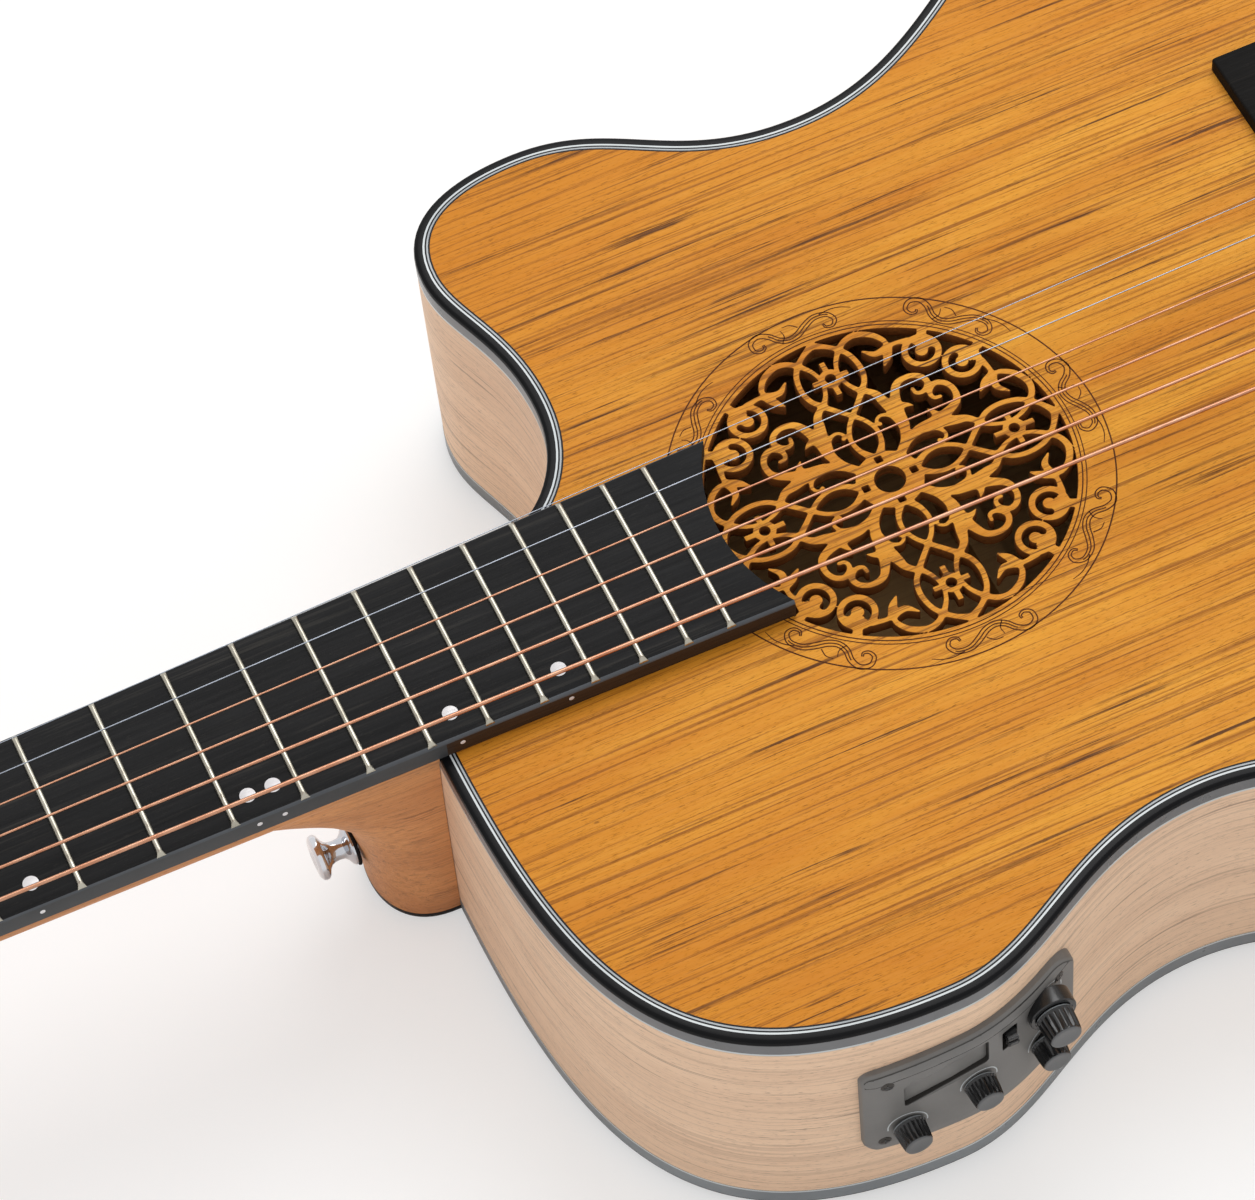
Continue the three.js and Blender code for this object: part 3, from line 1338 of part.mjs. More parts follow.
function endpinJack() {
  const out = seam;
  const profile = [
    [jackBoreRadius, jackLength],
    [jackRimRadius * jackCrownShare, jackLength],
    [jackRimRadius, jackLength - jackRimWidth / 2],
    [jackRimRadius, jackLength - jackRimWidth],
    [jackWaistRadius, jackLength - jackRimWidth * jackSlopeShare],
    [jackWaistRadius, out + jackFlangeWidth * jackSlopeShare],
    [jackFlangeRadius, out + jackFlangeWidth],
    [jackFlangeRadius, out],
    [jackBodyRadius, out],
    [jackBodyRadius, -jackBodyLength],
    [0, -jackBodyLength],
    [0, jackLength - jackBoreDepth],
    [jackBoreRadius, jackLength - jackBoreDepth],
    [jackBoreRadius, jackLength],
  ];
  return turnedAlongX(profile, roundSides);
}

// Assembly
addPiece('soundboard', soundboard(), 'topWood');
addPiece('back', back(), 'sideWood');
const cutForPreamp = panelCase(seam).intersect(plate(insetOutline(-overrun), -bodyDepth, 0));
addPiece('bass_side', side(0, tailIndex, -seam / 2).subtract(cutForPreamp), 'sideWood');
addPiece('treble_side', side(tailIndex, outline.length, seam / 2), 'sideWood');
addPiece('top_binding', topBinding(), 'bindingPlastic');
addPiece('back_binding', backBinding(), 'bindingPlastic');
const neckBlockSolid = without(neckBlock().intersect(overBack()), [tenon(seam), bindingRoom()]);
addPiece('neck_block', neckBlockSolid, 'innerWood');
const tailBlockCuts = [jackHole(jackBodyRadius + seam), bindingRoom()];
addPiece('tail_block', without(tailBlock().intersect(overBack()), tailBlockCuts), 'innerWood');
addPiece('top_bracing', topBracing(), 'innerWood');
addPiece('bridge_plate', bridgePlate(), 'innerWood');
addPiece('back_bracing', backBracing(), 'innerWood');
addPiece('neck', neck(), 'neckWood');
addPiece('heel_cap', heelCap(), 'blackPlastic');
addPiece('fingerboard', fingerboard(), 'ebony');
addPiece('nut', nut(), 'bone');
addPiece('truss_rod', trussRod(), 'rodSteel');
addPiece('headstock_overlay', headOverlay(), 'ebony', head);
addPiece('truss_rod_cover', rodCover(), 'blackPlastic', head);
addPiece('bridge', bridge(), 'ebony');
addPiece('saddle', saddle(), 'bone');
addPiece('saddle_pickup', pickup(), 'steel');
for (let i = 0; i < stringCount; i++) {
  const number = i + 1;
  addPiece(`bridge_pin_${number}`, bridgePin(i), 'blackPlastic');
  addPiece(`string_${number}`, stringTube(i), i < 2 ? 'steel' : 'bronze');
  addPiece(`tuner_housing_${number}`, tunerHousing(tunerPlaces[i]), 'chrome', head);
  addPiece(`tuner_post_${number}`, tunerPost(tunerPlaces[i]), 'chrome', head);
  addPiece(`tuner_button_${number}`, tunerButton(tunerPlaces[i]), 'chrome', head);
}
addPiece('preamp_panel', preampPanel(), 'panelPlastic');
knobNames.forEach((name, i) => addPiece(name, knob(i), 'blackPlastic'));
addPiece('preamp_switch', switchBox(0, 0), 'blackPlastic');
addPiece('heel_strap_button', strapButton(), 'nickel');
addPiece('endpin_jack', endpinJack(), 'nickel');

console.log(`least gap between a string's turns: ${Math.min(...windingGaps).toFixed(2)} mm`);

export default guitar;
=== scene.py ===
"""Dresses the acoustic-electric guitar: wood, bindings, scrollwork, strings, preamp and tuners.

Sizes are millimetres in the guitar's own frame: x runs from the nut to the tail, y to the treble
side, and z up from the soundboard's top face. Meshes are placed in the row frame, in metres.
"""

import logging
import math
from collections.abc import Callable, Iterable, Sequence
from dataclasses import dataclass, field
from enum import Enum

import bmesh
import bpy
import numpy as np
from mathutils import Matrix, Vector
from mathutils.geometry import delaunay_2d_cdt


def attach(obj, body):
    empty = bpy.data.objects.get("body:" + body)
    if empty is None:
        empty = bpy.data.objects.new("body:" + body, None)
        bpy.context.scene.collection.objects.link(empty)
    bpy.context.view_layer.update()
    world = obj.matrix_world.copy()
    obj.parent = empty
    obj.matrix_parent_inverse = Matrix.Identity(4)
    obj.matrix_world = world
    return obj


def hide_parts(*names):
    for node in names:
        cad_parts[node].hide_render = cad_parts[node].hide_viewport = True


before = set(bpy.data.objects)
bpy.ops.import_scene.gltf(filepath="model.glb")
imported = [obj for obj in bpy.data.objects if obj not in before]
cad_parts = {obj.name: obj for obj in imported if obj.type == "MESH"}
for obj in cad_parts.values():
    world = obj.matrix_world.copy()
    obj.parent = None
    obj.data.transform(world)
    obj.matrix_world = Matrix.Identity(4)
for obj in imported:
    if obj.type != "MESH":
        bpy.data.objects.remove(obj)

log = logging.getLogger("guitar")

Flat = tuple[float, float]
Place = tuple[float, float, float]
Shade = tuple[int, int, int]
Loop = Sequence[Vector]
Lift = Callable[[Vector, float], Place]
Socket = bpy.types.NodeSocket

SCALE_LENGTH = 650.0
JOINT_FRET = 14
JOINT_PAST_FRET = 1.2
NUT_LENGTH = 5.0
NUT_WIDTH = 43.0
WIDTH_AT_OCTAVE = 52.0
OCTAVE_FRET = 12
BODY_LENGTH = 503.0
BODY_DEPTH = 90.5
TOP_THICKNESS = 3.5
BOARD_TOP = 7.0
FRET_HEIGHT = 1.1
BOARD_CAMBER = 400.0
NUT_TOP = BOARD_TOP + FRET_HEIGHT + 0.4
TREBLE_EXTRA = 1.3
TREBLE_EXTRA_AT_BODY = 2.4
TREBLE_EXTRA_GROWS_FROM = 300.0
TREBLE_EXTRA_GROWS_OVER = 150.0
TREBLE_EXTRA_STARTS_OVER = 120.0
HEAD_TILT = math.radians(14)
HEAD_LENGTH = 184.0
HEAD_HALF_AT_SHOULDER = 33.0
HEAD_HALF_AT_TOP = 37.5
HOLE_RADIUS = 50.0
HOLE_FROM_FRONT = 142.6
BACK_FLAT_HALF = 50.0
BACK_ARCH_RADIUS = 4500.0
STRING_SPREAD_AT_NUT = 36.0
STRING_DIAMETERS = (0.31, 0.41, 0.61, 0.81, 1.07, 1.35)
SHARP_ANGLE = 38.0
CORNERS = ((-1, -1), (1, -1), (1, 1), (-1, 1))


def fret_place(number: float) -> float:
    """Distance of a fret from the nut, equal temperament."""
    return SCALE_LENGTH * (1 - 2 ** (-number / OCTAVE_FRET))


BODY_FRONT = fret_place(JOINT_FRET) + JOINT_PAST_FRET
BODY_TAIL = BODY_FRONT + BODY_LENGTH
HOLE_CENTRE = BODY_FRONT + HOLE_FROM_FRONT
ROW_ORIGIN = Vector((BODY_FRONT + BODY_LENGTH / 2, 0.0, -BODY_DEPTH))


def in_row(point: Sequence[float]) -> Vector:
    """A point of the guitar's frame, in millimetres, as a point of the row frame in metres."""
    return (Vector(point) - ROW_ORIGIN) / 1000


def in_head(point: Sequence[float]) -> Vector:
    """A point of the tilted headstock's own frame as a point of the guitar's frame.

    Args:
        point: The place in the headstock's frame.

    Returns:
        The place in the guitar's frame.
    """
    x, y, z = point
    cos, sin = math.cos(HEAD_TILT), math.sin(HEAD_TILT)
    return Vector((-NUT_LENGTH + x * cos - z * sin, y, x * sin + z * cos))


def head_way(way: Sequence[float]) -> Vector:
    """A direction of the headstock's own frame as one of the guitar's frame."""
    return in_head(way) - in_head((0, 0, 0))


def head_lift(top: float) -> Lift:
    """Lays a flat sheet at a height over the headstock's face, with depth counted down from it."""
    return lambda p, depth: in_head((p.x, p.y, top - depth))


def mix(low: float, high: float, share: float) -> float:
    """The value at a share of the way from low to high."""
    return low + (high - low) * share


def eased(share: float) -> float:
    """A share from 0 to 1 with soft ends."""
    share = min(max(share, 0.0), 1.0)
    return share * share * (3 - 2 * share)


def half_width(x: float) -> float:
    """Half the fingerboard's width at a distance from the nut."""
    return mix(NUT_WIDTH, WIDTH_AT_OCTAVE, x / fret_place(OCTAVE_FRET)) / 2


def side_width(x: float, side: float) -> float:
    """The neck's width from its middle line to one edge, a little more on the treble side.

    Args:
        x: Distance from the nut.
        side: 1 for the treble side, -1 for the bass side.

    Returns:
        The width.
    """
    grown = min(max((x - TREBLE_EXTRA_GROWS_FROM) / TREBLE_EXTRA_GROWS_OVER, 0.0), 1.0)
    extra = mix(TREBLE_EXTRA, TREBLE_EXTRA_AT_BODY, grown) * eased(x / TREBLE_EXTRA_STARTS_OVER)
    return half_width(x) + (extra if side > 0 else 0.0)


def camber_drop(y: float) -> float:
    """How far the cambered fingerboard has fallen at a distance from its middle line."""
    return BOARD_CAMBER - math.sqrt(BOARD_CAMBER**2 - y * y)


def circle(radius: float, sides: int, x: float = 0.0, y: float = 0.0) -> list[Vector]:
    """Counter-clockwise points of a flat circle."""
    turns = (2 * math.pi * i / sides for i in range(sides))
    return [Vector((x + radius * math.cos(t), y + radius * math.sin(t))) for t in turns]


def rounded_box(x0: float, x1: float, y0: float, y1: float, radii: Sequence[float], steps: int = 6) -> list[Vector]:
    """Counter-clockwise rectangle with round corners.

    Args:
        x0, x1, y0, y1: The sides.
        radii: Corner radii at (x1, y1), (x0, y1), (x0, y0) and (x1, y0).
        steps: Segments to a corner.

    Returns:
        The flat points.
    """
    corners = ((x1, y1, -1, -1), (x0, y1, 1, -1), (x0, y0, 1, 1), (x1, y0, -1, 1))
    points = []
    for k, (cx, cy, sx, sy) in enumerate(corners):
        r = radii[k]
        for i in range(steps + 1):
            turn = math.pi / 2 * (k + i / steps)
            points.append(Vector((cx + sx * r + r * math.cos(turn), cy + sy * r + r * math.sin(turn))))
    return points


def left_normals(loop: Loop) -> list[Vector]:
    """Unit normals to the left of a closed loop, lengthened where the loop turns.

    Args:
        loop: The loop's points.

    Returns:
        A normal for each point.
    """
    normals = []
    count = len(loop)
    for i in range(count):
        before = (loop[i] - loop[i - 1]).normalized()
        after = (loop[(i + 1) % count] - loop[i]).normalized()
        stretch = max(1 + before.dot(after), 0.6)
        normals.append(Vector((-before.y - after.y, before.x + after.x)) / stretch)
    return normals


def moved_in(loop: Loop, distance: float) -> list[Vector]:
    """A closed loop moved to its left by a distance."""
    return [p + n * distance for p, n in zip(loop, left_normals(loop))]


def spline(points: Sequence[Sequence[float]], steps: int) -> np.ndarray:
    """A smooth curve through points.

    Args:
        points: Rows of coordinates, or of anything else that varies along the curve.
        steps: Segments between two points.

    Returns:
        Rows of the curve, the given points included.
    """
    rows = np.array(points, float)
    padded = np.vstack([2 * rows[0] - rows[1], rows, 2 * rows[-1] - rows[-2]])
    out = []
    for k in range(len(rows) - 1):
        a, b, c, d = padded[k : k + 4]
        for i in range(steps):
            t = i / steps
            square, cube = 2 * a - 5 * b + 4 * c - d, 3 * b - a - 3 * c + d
            out.append(0.5 * (2 * b + (c - a) * t + square * t**2 + cube * t**3))
    out.append(rows[-1])
    return np.array(out)


class Piece:
    """Collects one piece's points and faces, in the guitar's frame, and makes its mesh object."""

    def __init__(self, name: str) -> None:
        """Starts an empty piece.

        Args:
            name: The object's name.
        """
        self.name = name
        self.points: list[Vector] = []
        self.grain: list[Vector] = []
        self.faces: list[tuple[int, ...]] = []
        self.slots: list[int] = []

    def point(self, place: Sequence[float], grain: Sequence[float] | None = None) -> int:
        """Adds a point, with its place in the grain if that isn't the place itself.

        Args:
            place: The point's place.
            grain: Its place in the grain, or None.

        Returns:
            The point's index.
        """
        self.points.append(Vector(place))
        self.grain.append(Vector(grain if grain is not None else place))
        return len(self.points) - 1

    def row(self, places: Iterable[Sequence[float]], grain: Iterable[Sequence[float]] | None = None) -> list[int]:
        """Adds several points and returns their indices.

        Args:
            places: The points' places.
            grain: Their places in the grain, or None.

        Returns:
            The points' indices.
        """
        if grain is None:
            return [self.point(p) for p in places]
        return [self.point(p, g) for p, g in zip(places, grain)]

    def face(self, corners: Sequence[int], slot: int = 0) -> None:
        """Adds a face of one finish slot."""
        self.faces.append(tuple(corners))
        self.slots.append(slot)

    def band(self, a: Sequence[int], b: Sequence[int], slot: int = 0, closed: bool = True) -> None:
        """Joins two rows of equal length with quads.

        Args:
            a, b: Indices of the rows' points.
            slot: The finish slot.
            closed: Whether the last points join the first.
        """
        count = len(a)
        for i in range(count if closed else count - 1):
            j = (i + 1) % count
            self.face((a[i], a[j], b[j], b[i]), slot)

    def loft(self, rings: Sequence[Sequence[Sequence[float]]], slot: int = 0, capped: bool = True) -> None:
        """Adds a tube through rings of equal length.

        Args:
            rings: Closed rings of places.
            slot: The finish slot.
            capped: Whether both ends get a face.
        """
        rows = [self.row(ring) for ring in rings]
        for a, b in zip(rows, rows[1:]):
            self.band(a, b, slot)
        if capped:
            self.face(rows[0][::-1], slot)
            self.face(rows[-1], slot)

    def turned(self, profile: Sequence[Flat], origin: Sequence[float], axis: Sequence[float], sides: int = 40,
               slots: Sequence[int] | None = None) -> None:
        """Adds a turned solid.

        Args:
            profile: Radius and height along the axis, from one end to the other.
            origin: Where height 0 is.
            axis: Direction of the axis.
            sides: Segments round it.
            slots: The finish slot of each stretch of the profile.
        """
        centre, along = Vector(origin), Vector(axis).normalized()
        across = along.orthogonal().normalized()
        other = along.cross(across)
        rows = []
        for radius, height in profile:
            base = centre + along * height
            if radius < 1e-6:
                rows.append([self.point(base)])
                continue
            turns = (2 * math.pi * i / sides for i in range(sides))
            rows.append(self.row(base + (across * math.cos(t) + other * math.sin(t)) * radius for t in turns))
        for k, (a, b) in enumerate(zip(rows, rows[1:])):
            slot = slots[k] if slots else 0
            if len(a) == 1 and len(b) == 1:
                continue
            if len(a) == 1 or len(b) == 1:
                tip, ring = (a[0], b) if len(a) == 1 else (b[0], a)
                for i in range(sides):
                    self.face((tip, ring[i], ring[(i + 1) % sides]), slot)
            else:
                self.band(a, b, slot)

    def tube(self, route: Sequence[Sequence[float]], radii: Sequence[float], sides: int = 12, slot: int = 0) -> None:
        """Adds a round tube along a route, with the length along it kept as its grain.

        Args:
            route: Places of the middle line.
            radii: The radius at each place.
            sides: Segments round it.
            slot: The finish slot.
        """
        line = [Vector(p) for p in route]
        across = Vector((0.0, 0.0, 1.0))
        length = 0.0
        rows = []
        for i, at in enumerate(line):
            ahead = (line[min(i + 1, len(line) - 1)] - at).normalized()
            behind = (at - line[max(i - 1, 0)]).normalized()
            along = (ahead + behind).normalized()
            across = (across - along * across.dot(along)).normalized()
            other = along.cross(across)
            if i:
                length += (at - line[i - 1]).length
            turns = [2 * math.pi * k / sides for k in range(sides)]
            ring = [at + (across * math.cos(t) + other * math.sin(t)) * radii[i] for t in turns]
            rows.append(self.row(ring, [(length, math.cos(t) * radii[i], math.sin(t) * radii[i]) for t in turns]))
        for a, b in zip(rows, rows[1:]):
            self.band(a, b, slot)
        self.face(rows[0][::-1], slot)
        self.face(rows[-1], slot)

    def cut_sheet(self, outer: Loop, holes: Sequence[Loop], lift: Lift,
                  outer_edge: Sequence[Flat], hole_edge: Sequence[Flat] = (), spacing: float = 0.0,
                  slots: tuple[int, int, int, int] = (0, 0, 0, 0)) -> None:
        """Adds a sheet with an outline and openings, whose faces follow a surface.

        Args:
            outer: Counter-clockwise outline.
            holes: Clockwise outlines of the openings.
            lift: Gives the place of a flat point at a depth below the sheet's face.
            outer_edge: The outer edge's section, as distance into the material and depth.
            hole_edge: The same for the openings.
            spacing: Distance of the points inside that a curved sheet needs, or 0.
            slots: Finish slots of the face, the outer edge, the openings' walls and the back.
        """
        loops = [(list(outer), list(outer_edge), slots[1])] + [(list(h), list(hole_edge), slots[2]) for h in holes]
        flat, groups, low = [], [], []
        for loop, edge, slot in loops:
            start = len(flat)
            flat.extend(moved_in(loop, edge[0][0]))
            low.extend(moved_in(loop, edge[-1][0]))
            groups.append(list(range(start, len(flat))))
        if spacing:
            inside = self.inner_points(loops[0][0], [loop for loop, _, _ in loops[1:]], spacing)
            flat.extend(inside)
            low.extend(inside)
        edges = [(g[i], g[(i + 1) % len(g)]) for g in groups for i in range(len(g))]
        found = delaunay_2d_cdt(flat, edges, [groups[0]] + [g[::-1] for g in groups[1:]], 1, 1e-7, True)
        spots, faces, origins, kept = found[0], found[2], found[3], found[5]
        depths = (outer_edge[0][1], outer_edge[-1][1])
        source = [o[0] if o else -1 for o in origins]
        upper = [self.point(lift(p, depths[0])) for p in spots]
        lower = [self.point(lift(low[source[i]] if source[i] >= 0 else p, depths[1])) for i, p in enumerate(spots)]
        for corners, owners in zip(faces, kept):
            if list(owners) == [0]:
                self.face([upper[c] for c in corners], slots[0])
                self.face([lower[c] for c in reversed(corners)], slots[3])
        at = {s: i for i, s in enumerate(source) if s >= 0}
        for (loop, edge, slot), group in zip(loops, groups):
            rows = [[upper[at[g]] for g in group]]
            rows += [self.row(lift(p, depth) for p in moved_in(loop, inward)) for inward, depth in edge[1:-1]]
            rows.append([lower[at[g]] for g in group])
            for a, b in zip(rows, rows[1:]):
                self.band(a, b, slot)

    @staticmethod
    def inner_points(outer: Loop, holes: Sequence[Loop], spacing: float) -> list[Vector]:
        """Grid points inside an outline and outside its openings, clear of all edges.

        Args:
            outer: The outline.
            holes: The openings' outlines.
            spacing: Distance between neighbours.

        Returns:
            The flat points.
        """
        xs, ys = [p.x for p in outer], [p.y for p in outer]
        grid = np.mgrid[min(xs) : max(xs) : spacing, min(ys) : max(ys) : spacing].reshape(2, -1).T + spacing / 2
        inside = np.zeros(len(grid), bool)
        clear = np.ones(len(grid), bool)
        for loop in (outer, *holes):
            a = np.array([tuple(p) for p in loop])
            b = np.roll(a, -1, axis=0)
            for (x0, y0), (x1, y1) in zip(a, b):
                crosses = (grid[:, 1] < y0) != (grid[:, 1] < y1)
                if crosses.any():
                    reach = x0 + (grid[:, 1] - y0) / (y1 - y0 if y1 != y0 else 1) * (x1 - x0)
                    inside ^= crosses & (grid[:, 0] < reach)
                clear &= np.hypot(grid[:, 0] - x0, grid[:, 1] - y0) > spacing / 2
        return [Vector(p) for p in grid[inside & clear]]

    def build(self, finishes: Sequence[bpy.types.Material], body: str = "guitar", replaced: Sequence[str] = (),
              slot: str | None = None, sharp: float = SHARP_ANGLE) -> bpy.types.Object:
        """Makes the mesh object and lets it ride on its body.

        Args:
            finishes: A material for each finish slot.
            body: The CAD body that carries the piece.
            replaced: CAD nodes that the piece stands for.
            slot: The record's material slot; not used.
            sharp: Edges that turn by more degrees than this stay sharp.

        Returns:
            The new object.
        """
        mesh = bpy.data.meshes.new(self.name)
        mesh.from_pydata([in_row(p) for p in self.points], [], self.faces)
        mesh.update()
        grain = mesh.attributes.new("grain", "FLOAT_VECTOR", "POINT")
        grain.data.foreach_set("vector", np.array([tuple(g) for g in self.grain], np.float32).ravel() / 1000)
        for finish in finishes:
            mesh.materials.append(finish)
        mesh.polygons.foreach_set("material_index", self.slots)
        shell = bmesh.new()
        shell.from_mesh(mesh)
        bmesh.ops.remove_doubles(shell, verts=shell.verts, dist=1e-7)
        bmesh.ops.recalc_face_normals(shell, faces=shell.faces)
        shell.to_mesh(mesh)
        shell.free()
        mesh.shade_smooth()
        mesh.set_sharp_from_angle(angle=math.radians(sharp))
        made = bpy.data.objects.new(self.name, mesh)
        bpy.context.scene.collection.objects.link(made)
        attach(made, body)
        if replaced:
            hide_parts(*replaced)
        log.info("%s: %d faces on %s", self.name, len(self.faces), body)
        return made


# Finishes


def paint(red: int, green: int, blue: int) -> tuple[float, float, float, float]:
    """A colour as it looks on screen, as the linear colour that a shader takes.

    Args:
        red, green, blue: The channels, from 0 to 255.

    Returns:
        The linear channels and an alpha of 1.
    """

    def linear(value: int) -> float:
        """One channel made linear."""
        share = value / 255
        return share / 12.92 if share <= 0.04045 else ((share + 0.055) / 1.055) ** 2.4

    return (linear(red), linear(green), linear(blue), 1.0)


class Lay(Enum):
    """Where a finish takes its coordinates from."""

    PLACE = "the place in the row frame"
    GRAIN = "the grain kept in the mesh"


def feed(tree: bpy.types.NodeTree, socket: Socket, source: object) -> None:
    """Gives a socket its source.

    Args:
        tree: The tree that both are in.
        socket: The socket.
        source: Another socket, or a value.
    """
    if isinstance(source, Socket):
        tree.links.new(source, socket)
    else:
        socket.default_value = source


def add_node(tree: bpy.types.NodeTree, kind: str, *sources: object, **settings: object) -> bpy.types.Node:
    """Adds a shader node.

    Args:
        tree: The tree that gets it.
        kind: Its type, without the first words.
        sources: What its first inputs get, in their order.
        settings: What other inputs get; a name in small letters is a setting of the node itself.

    Returns:
        The node.
    """
    node = tree.nodes.new(f"ShaderNode{kind}")
    for name, value in settings.items():
        if name.islower():
            setattr(node, name, value)
        else:
            feed(tree, node.inputs[name.replace("_", " ")], value)
    for socket, source in zip(node.inputs, sources):
        feed(tree, socket, source)
    return node


class Sheet:
    """One material's node sheet, with short ways to add what the finishes share."""

    def __init__(self, name: str, lay: Lay = Lay.PLACE) -> None:
        """Starts a material with its shader.

        Args:
            name: The material's name.
            lay: Where its coordinates come from.
        """
        self.material = bpy.data.materials.new(name)
        self.material.use_nodes = True
        self.tree = self.material.node_tree
        self.shader = self.tree.nodes["Principled BSDF"]
        if lay is Lay.PLACE:
            self.coords = self.node("TexCoord").outputs["Object"]
        else:
            self.coords = self.node("Attribute", attribute_name="grain").outputs["Vector"]

    def node(self, kind: str, *sources: object, **settings: object) -> bpy.types.Node:
        """Adds a node to the sheet."""
        return add_node(self.tree, kind, *sources, **settings)

    def stretched(self, scale: Place) -> Socket:
        """The coordinates multiplied by a scale along each axis."""
        return self.node("Mapping", self.coords, Scale=scale).outputs["Vector"]

    def noise(self, scale: Place, detail: float = 3.0, roughness: float = 0.55, warp: float = 0.0) -> Socket:
        """Noise with its own scale per metre along each axis."""
        settings = {"Scale": 1.0, "Detail": detail, "Roughness": roughness, "Distortion": warp}
        return self.node("TexNoise", self.stretched(scale), **settings).outputs["Fac"]

    def reach(self, centre: Place, scale: Place) -> Socket:
        """Distance from a centre, in coordinates with their own scale along each axis.

        Args:
            centre: The centre.
            scale: Factor along each axis.

        Returns:
            The distance.
        """
        offset = tuple(-c * s for c, s in zip(centre, scale))
        shifted = self.node("Mapping", self.coords, Location=offset, Scale=scale)
        return self.node("VectorMath", shifted.outputs["Vector"], operation="LENGTH").outputs["Value"]

    def ramp(self, value: Socket, stops: Sequence[tuple[float, Sequence[float]]]) -> Socket:
        """Turns a value into a colour between stops.

        Args:
            value: The value.
            stops: Value and colour of each stop.

        Returns:
            The colour.
        """
        node = self.node("ValToRGB", value)
        elements = node.color_ramp.elements
        while len(elements) < len(stops):
            elements.new(0.5)
        for element, (place, colour) in zip(elements, stops):
            element.position = place
            element.color = colour
        return node.outputs["Color"]

    def span(self, value: Socket, low: float, high: float, out_low: float = 0.0, out_high: float = 1.0) -> Socket:
        """Maps a range of a value to another range, clamped."""
        return self.node("MapRange", value, low, high, out_low, out_high).outputs["Result"]

    def product(self, a: Socket, b: Socket) -> Socket:
        """Two values multiplied."""
        return self.node("Math", a, b, operation="MULTIPLY").outputs[0]

    def blend(self, share: Socket, below: Socket | Sequence[float], above: Socket | Sequence[float]) -> Socket:
        """Two colours mixed by a share.

        Args:
            share: 0 for the first colour, 1 for the second.
            below: The first colour.
            above: The second colour.

        Returns:
            The mixed colour.
        """
        node = self.node("Mix", share, data_type="RGBA")
        colours = [socket for socket in node.inputs if socket.type == "RGBA"]
        feed(self.tree, colours[0], below)
        feed(self.tree, colours[1], above)
        return next(socket for socket in node.outputs if socket.type == "RGBA")

    def bump(self, height: Socket, depth: float, strength: float = 1.0) -> None:
        """Gives the shader a bump of a real depth in metres."""
        node = self.node("Bump", Strength=strength, Distance=depth, Height=height)
        feed(self.tree, self.shader.inputs["Normal"], node.outputs["Normal"])

    def set(self, **values: float) -> None:
        """Sets the shader's own sockets; an underscore in a name stands for a space."""
        for name, value in values.items():
            self.shader.inputs[name.replace("_", " ")].default_value = value

    def colour(self, source: Socket) -> None:
        """Gives the shader its colour."""
        feed(self.tree, self.shader.inputs["Base Color"], source)

    def roughness(self, source: Socket) -> None:
        """Gives the shader its roughness."""
        feed(self.tree, self.shader.inputs["Roughness"], source)


@dataclass(frozen=True)
class Wood:
    """Open-pored wood with straight grain along x, or along the rim for bent sides."""

    name: str
    light: Shade
    deep: Shade
    streak: Shade
    streak_share: float = 0.5
    pore_share: float = 0.75
    along: float = 26.0
    across: float = 460.0
    roughness: float = 0.5
    specular: float = 0.2
    rim_tone: float = 0.0
    line_share: float = 0.4

    def material(self, lay: Lay = Lay.PLACE) -> bpy.types.Material:
        """Makes the material, with tone, fibres, year lines, interrupted streaks and pores.

        Args:
            lay: Where its coordinates come from.

        Returns:
            The material.
        """
        sheet = Sheet(self.name if lay is Lay.PLACE else f"{self.name}_bent", lay)
        wide = self.across / 10
        tone = sheet.noise((self.along / 4, wide, wide), 4.0, 0.6, 0.4)
        colour = sheet.ramp(tone, [(0.3, paint(*self.deep)), (0.68, paint(*self.light))])
        fibre = sheet.noise((self.along * 1.6, self.across * 2.6, self.across * 2.6), 4.0, 0.7, 0.2)
        colour = sheet.blend(sheet.span(fibre, 0.36, 0.66, 0.0, 0.42), colour, paint(*self.deep))
        if self.rim_tone:
            rim = sheet.span(sheet.reach((0.02, -0.03, 0.0), (3.2, 4.8, 0.0)), 0.45, 1.0, 0.0, self.rim_tone)
            colour = sheet.blend(rim, colour, paint(*self.deep))
        year = sheet.noise((self.along * 0.35, self.across * 1.7, self.across * 1.7), 4.0, 0.6, 0.3)
        line = tuple(round(mix(d, s, 0.42)) for d, s in zip(self.deep, self.streak))
        colour = sheet.blend(sheet.span(year, 0.52, 0.62, 0.0, self.line_share), colour, paint(*line))
        bundle = sheet.noise((self.along * 0.4, self.across * 1.15, self.across * 1.15), 4.0, 0.65, 0.3)
        patch = sheet.noise((self.along * 0.8, self.across / 7, self.across / 7), 2.0, 0.5, 0.3)
        streak = sheet.product(sheet.span(bundle, 0.58, 0.65), sheet.span(patch, 0.4, 0.58, 0.2, self.streak_share))
        colour = sheet.blend(streak, colour, paint(*self.streak))
        pore = sheet.noise((self.along * 14, self.across * 7, self.across * 7), 2.0, 0.5, 0.3)
        pit = sheet.span(pore, 0.6, 0.7)
        pit = sheet.product(pit, sheet.span(bundle, 0.3, 0.6, 0.2, self.pore_share))
        colour = sheet.blend(pit, colour, paint(*self.streak))
        sheet.colour(colour)
        sheet.roughness(sheet.span(fibre, 0.3, 0.7, self.roughness - 0.06, self.roughness + 0.1))
        sheet.set(Specular_IOR_Level=self.specular)
        sheet.bump(sheet.span(pore, 0.55, 0.72, 1.0, 0.0), 0.00008, 0.5)
        return sheet.material


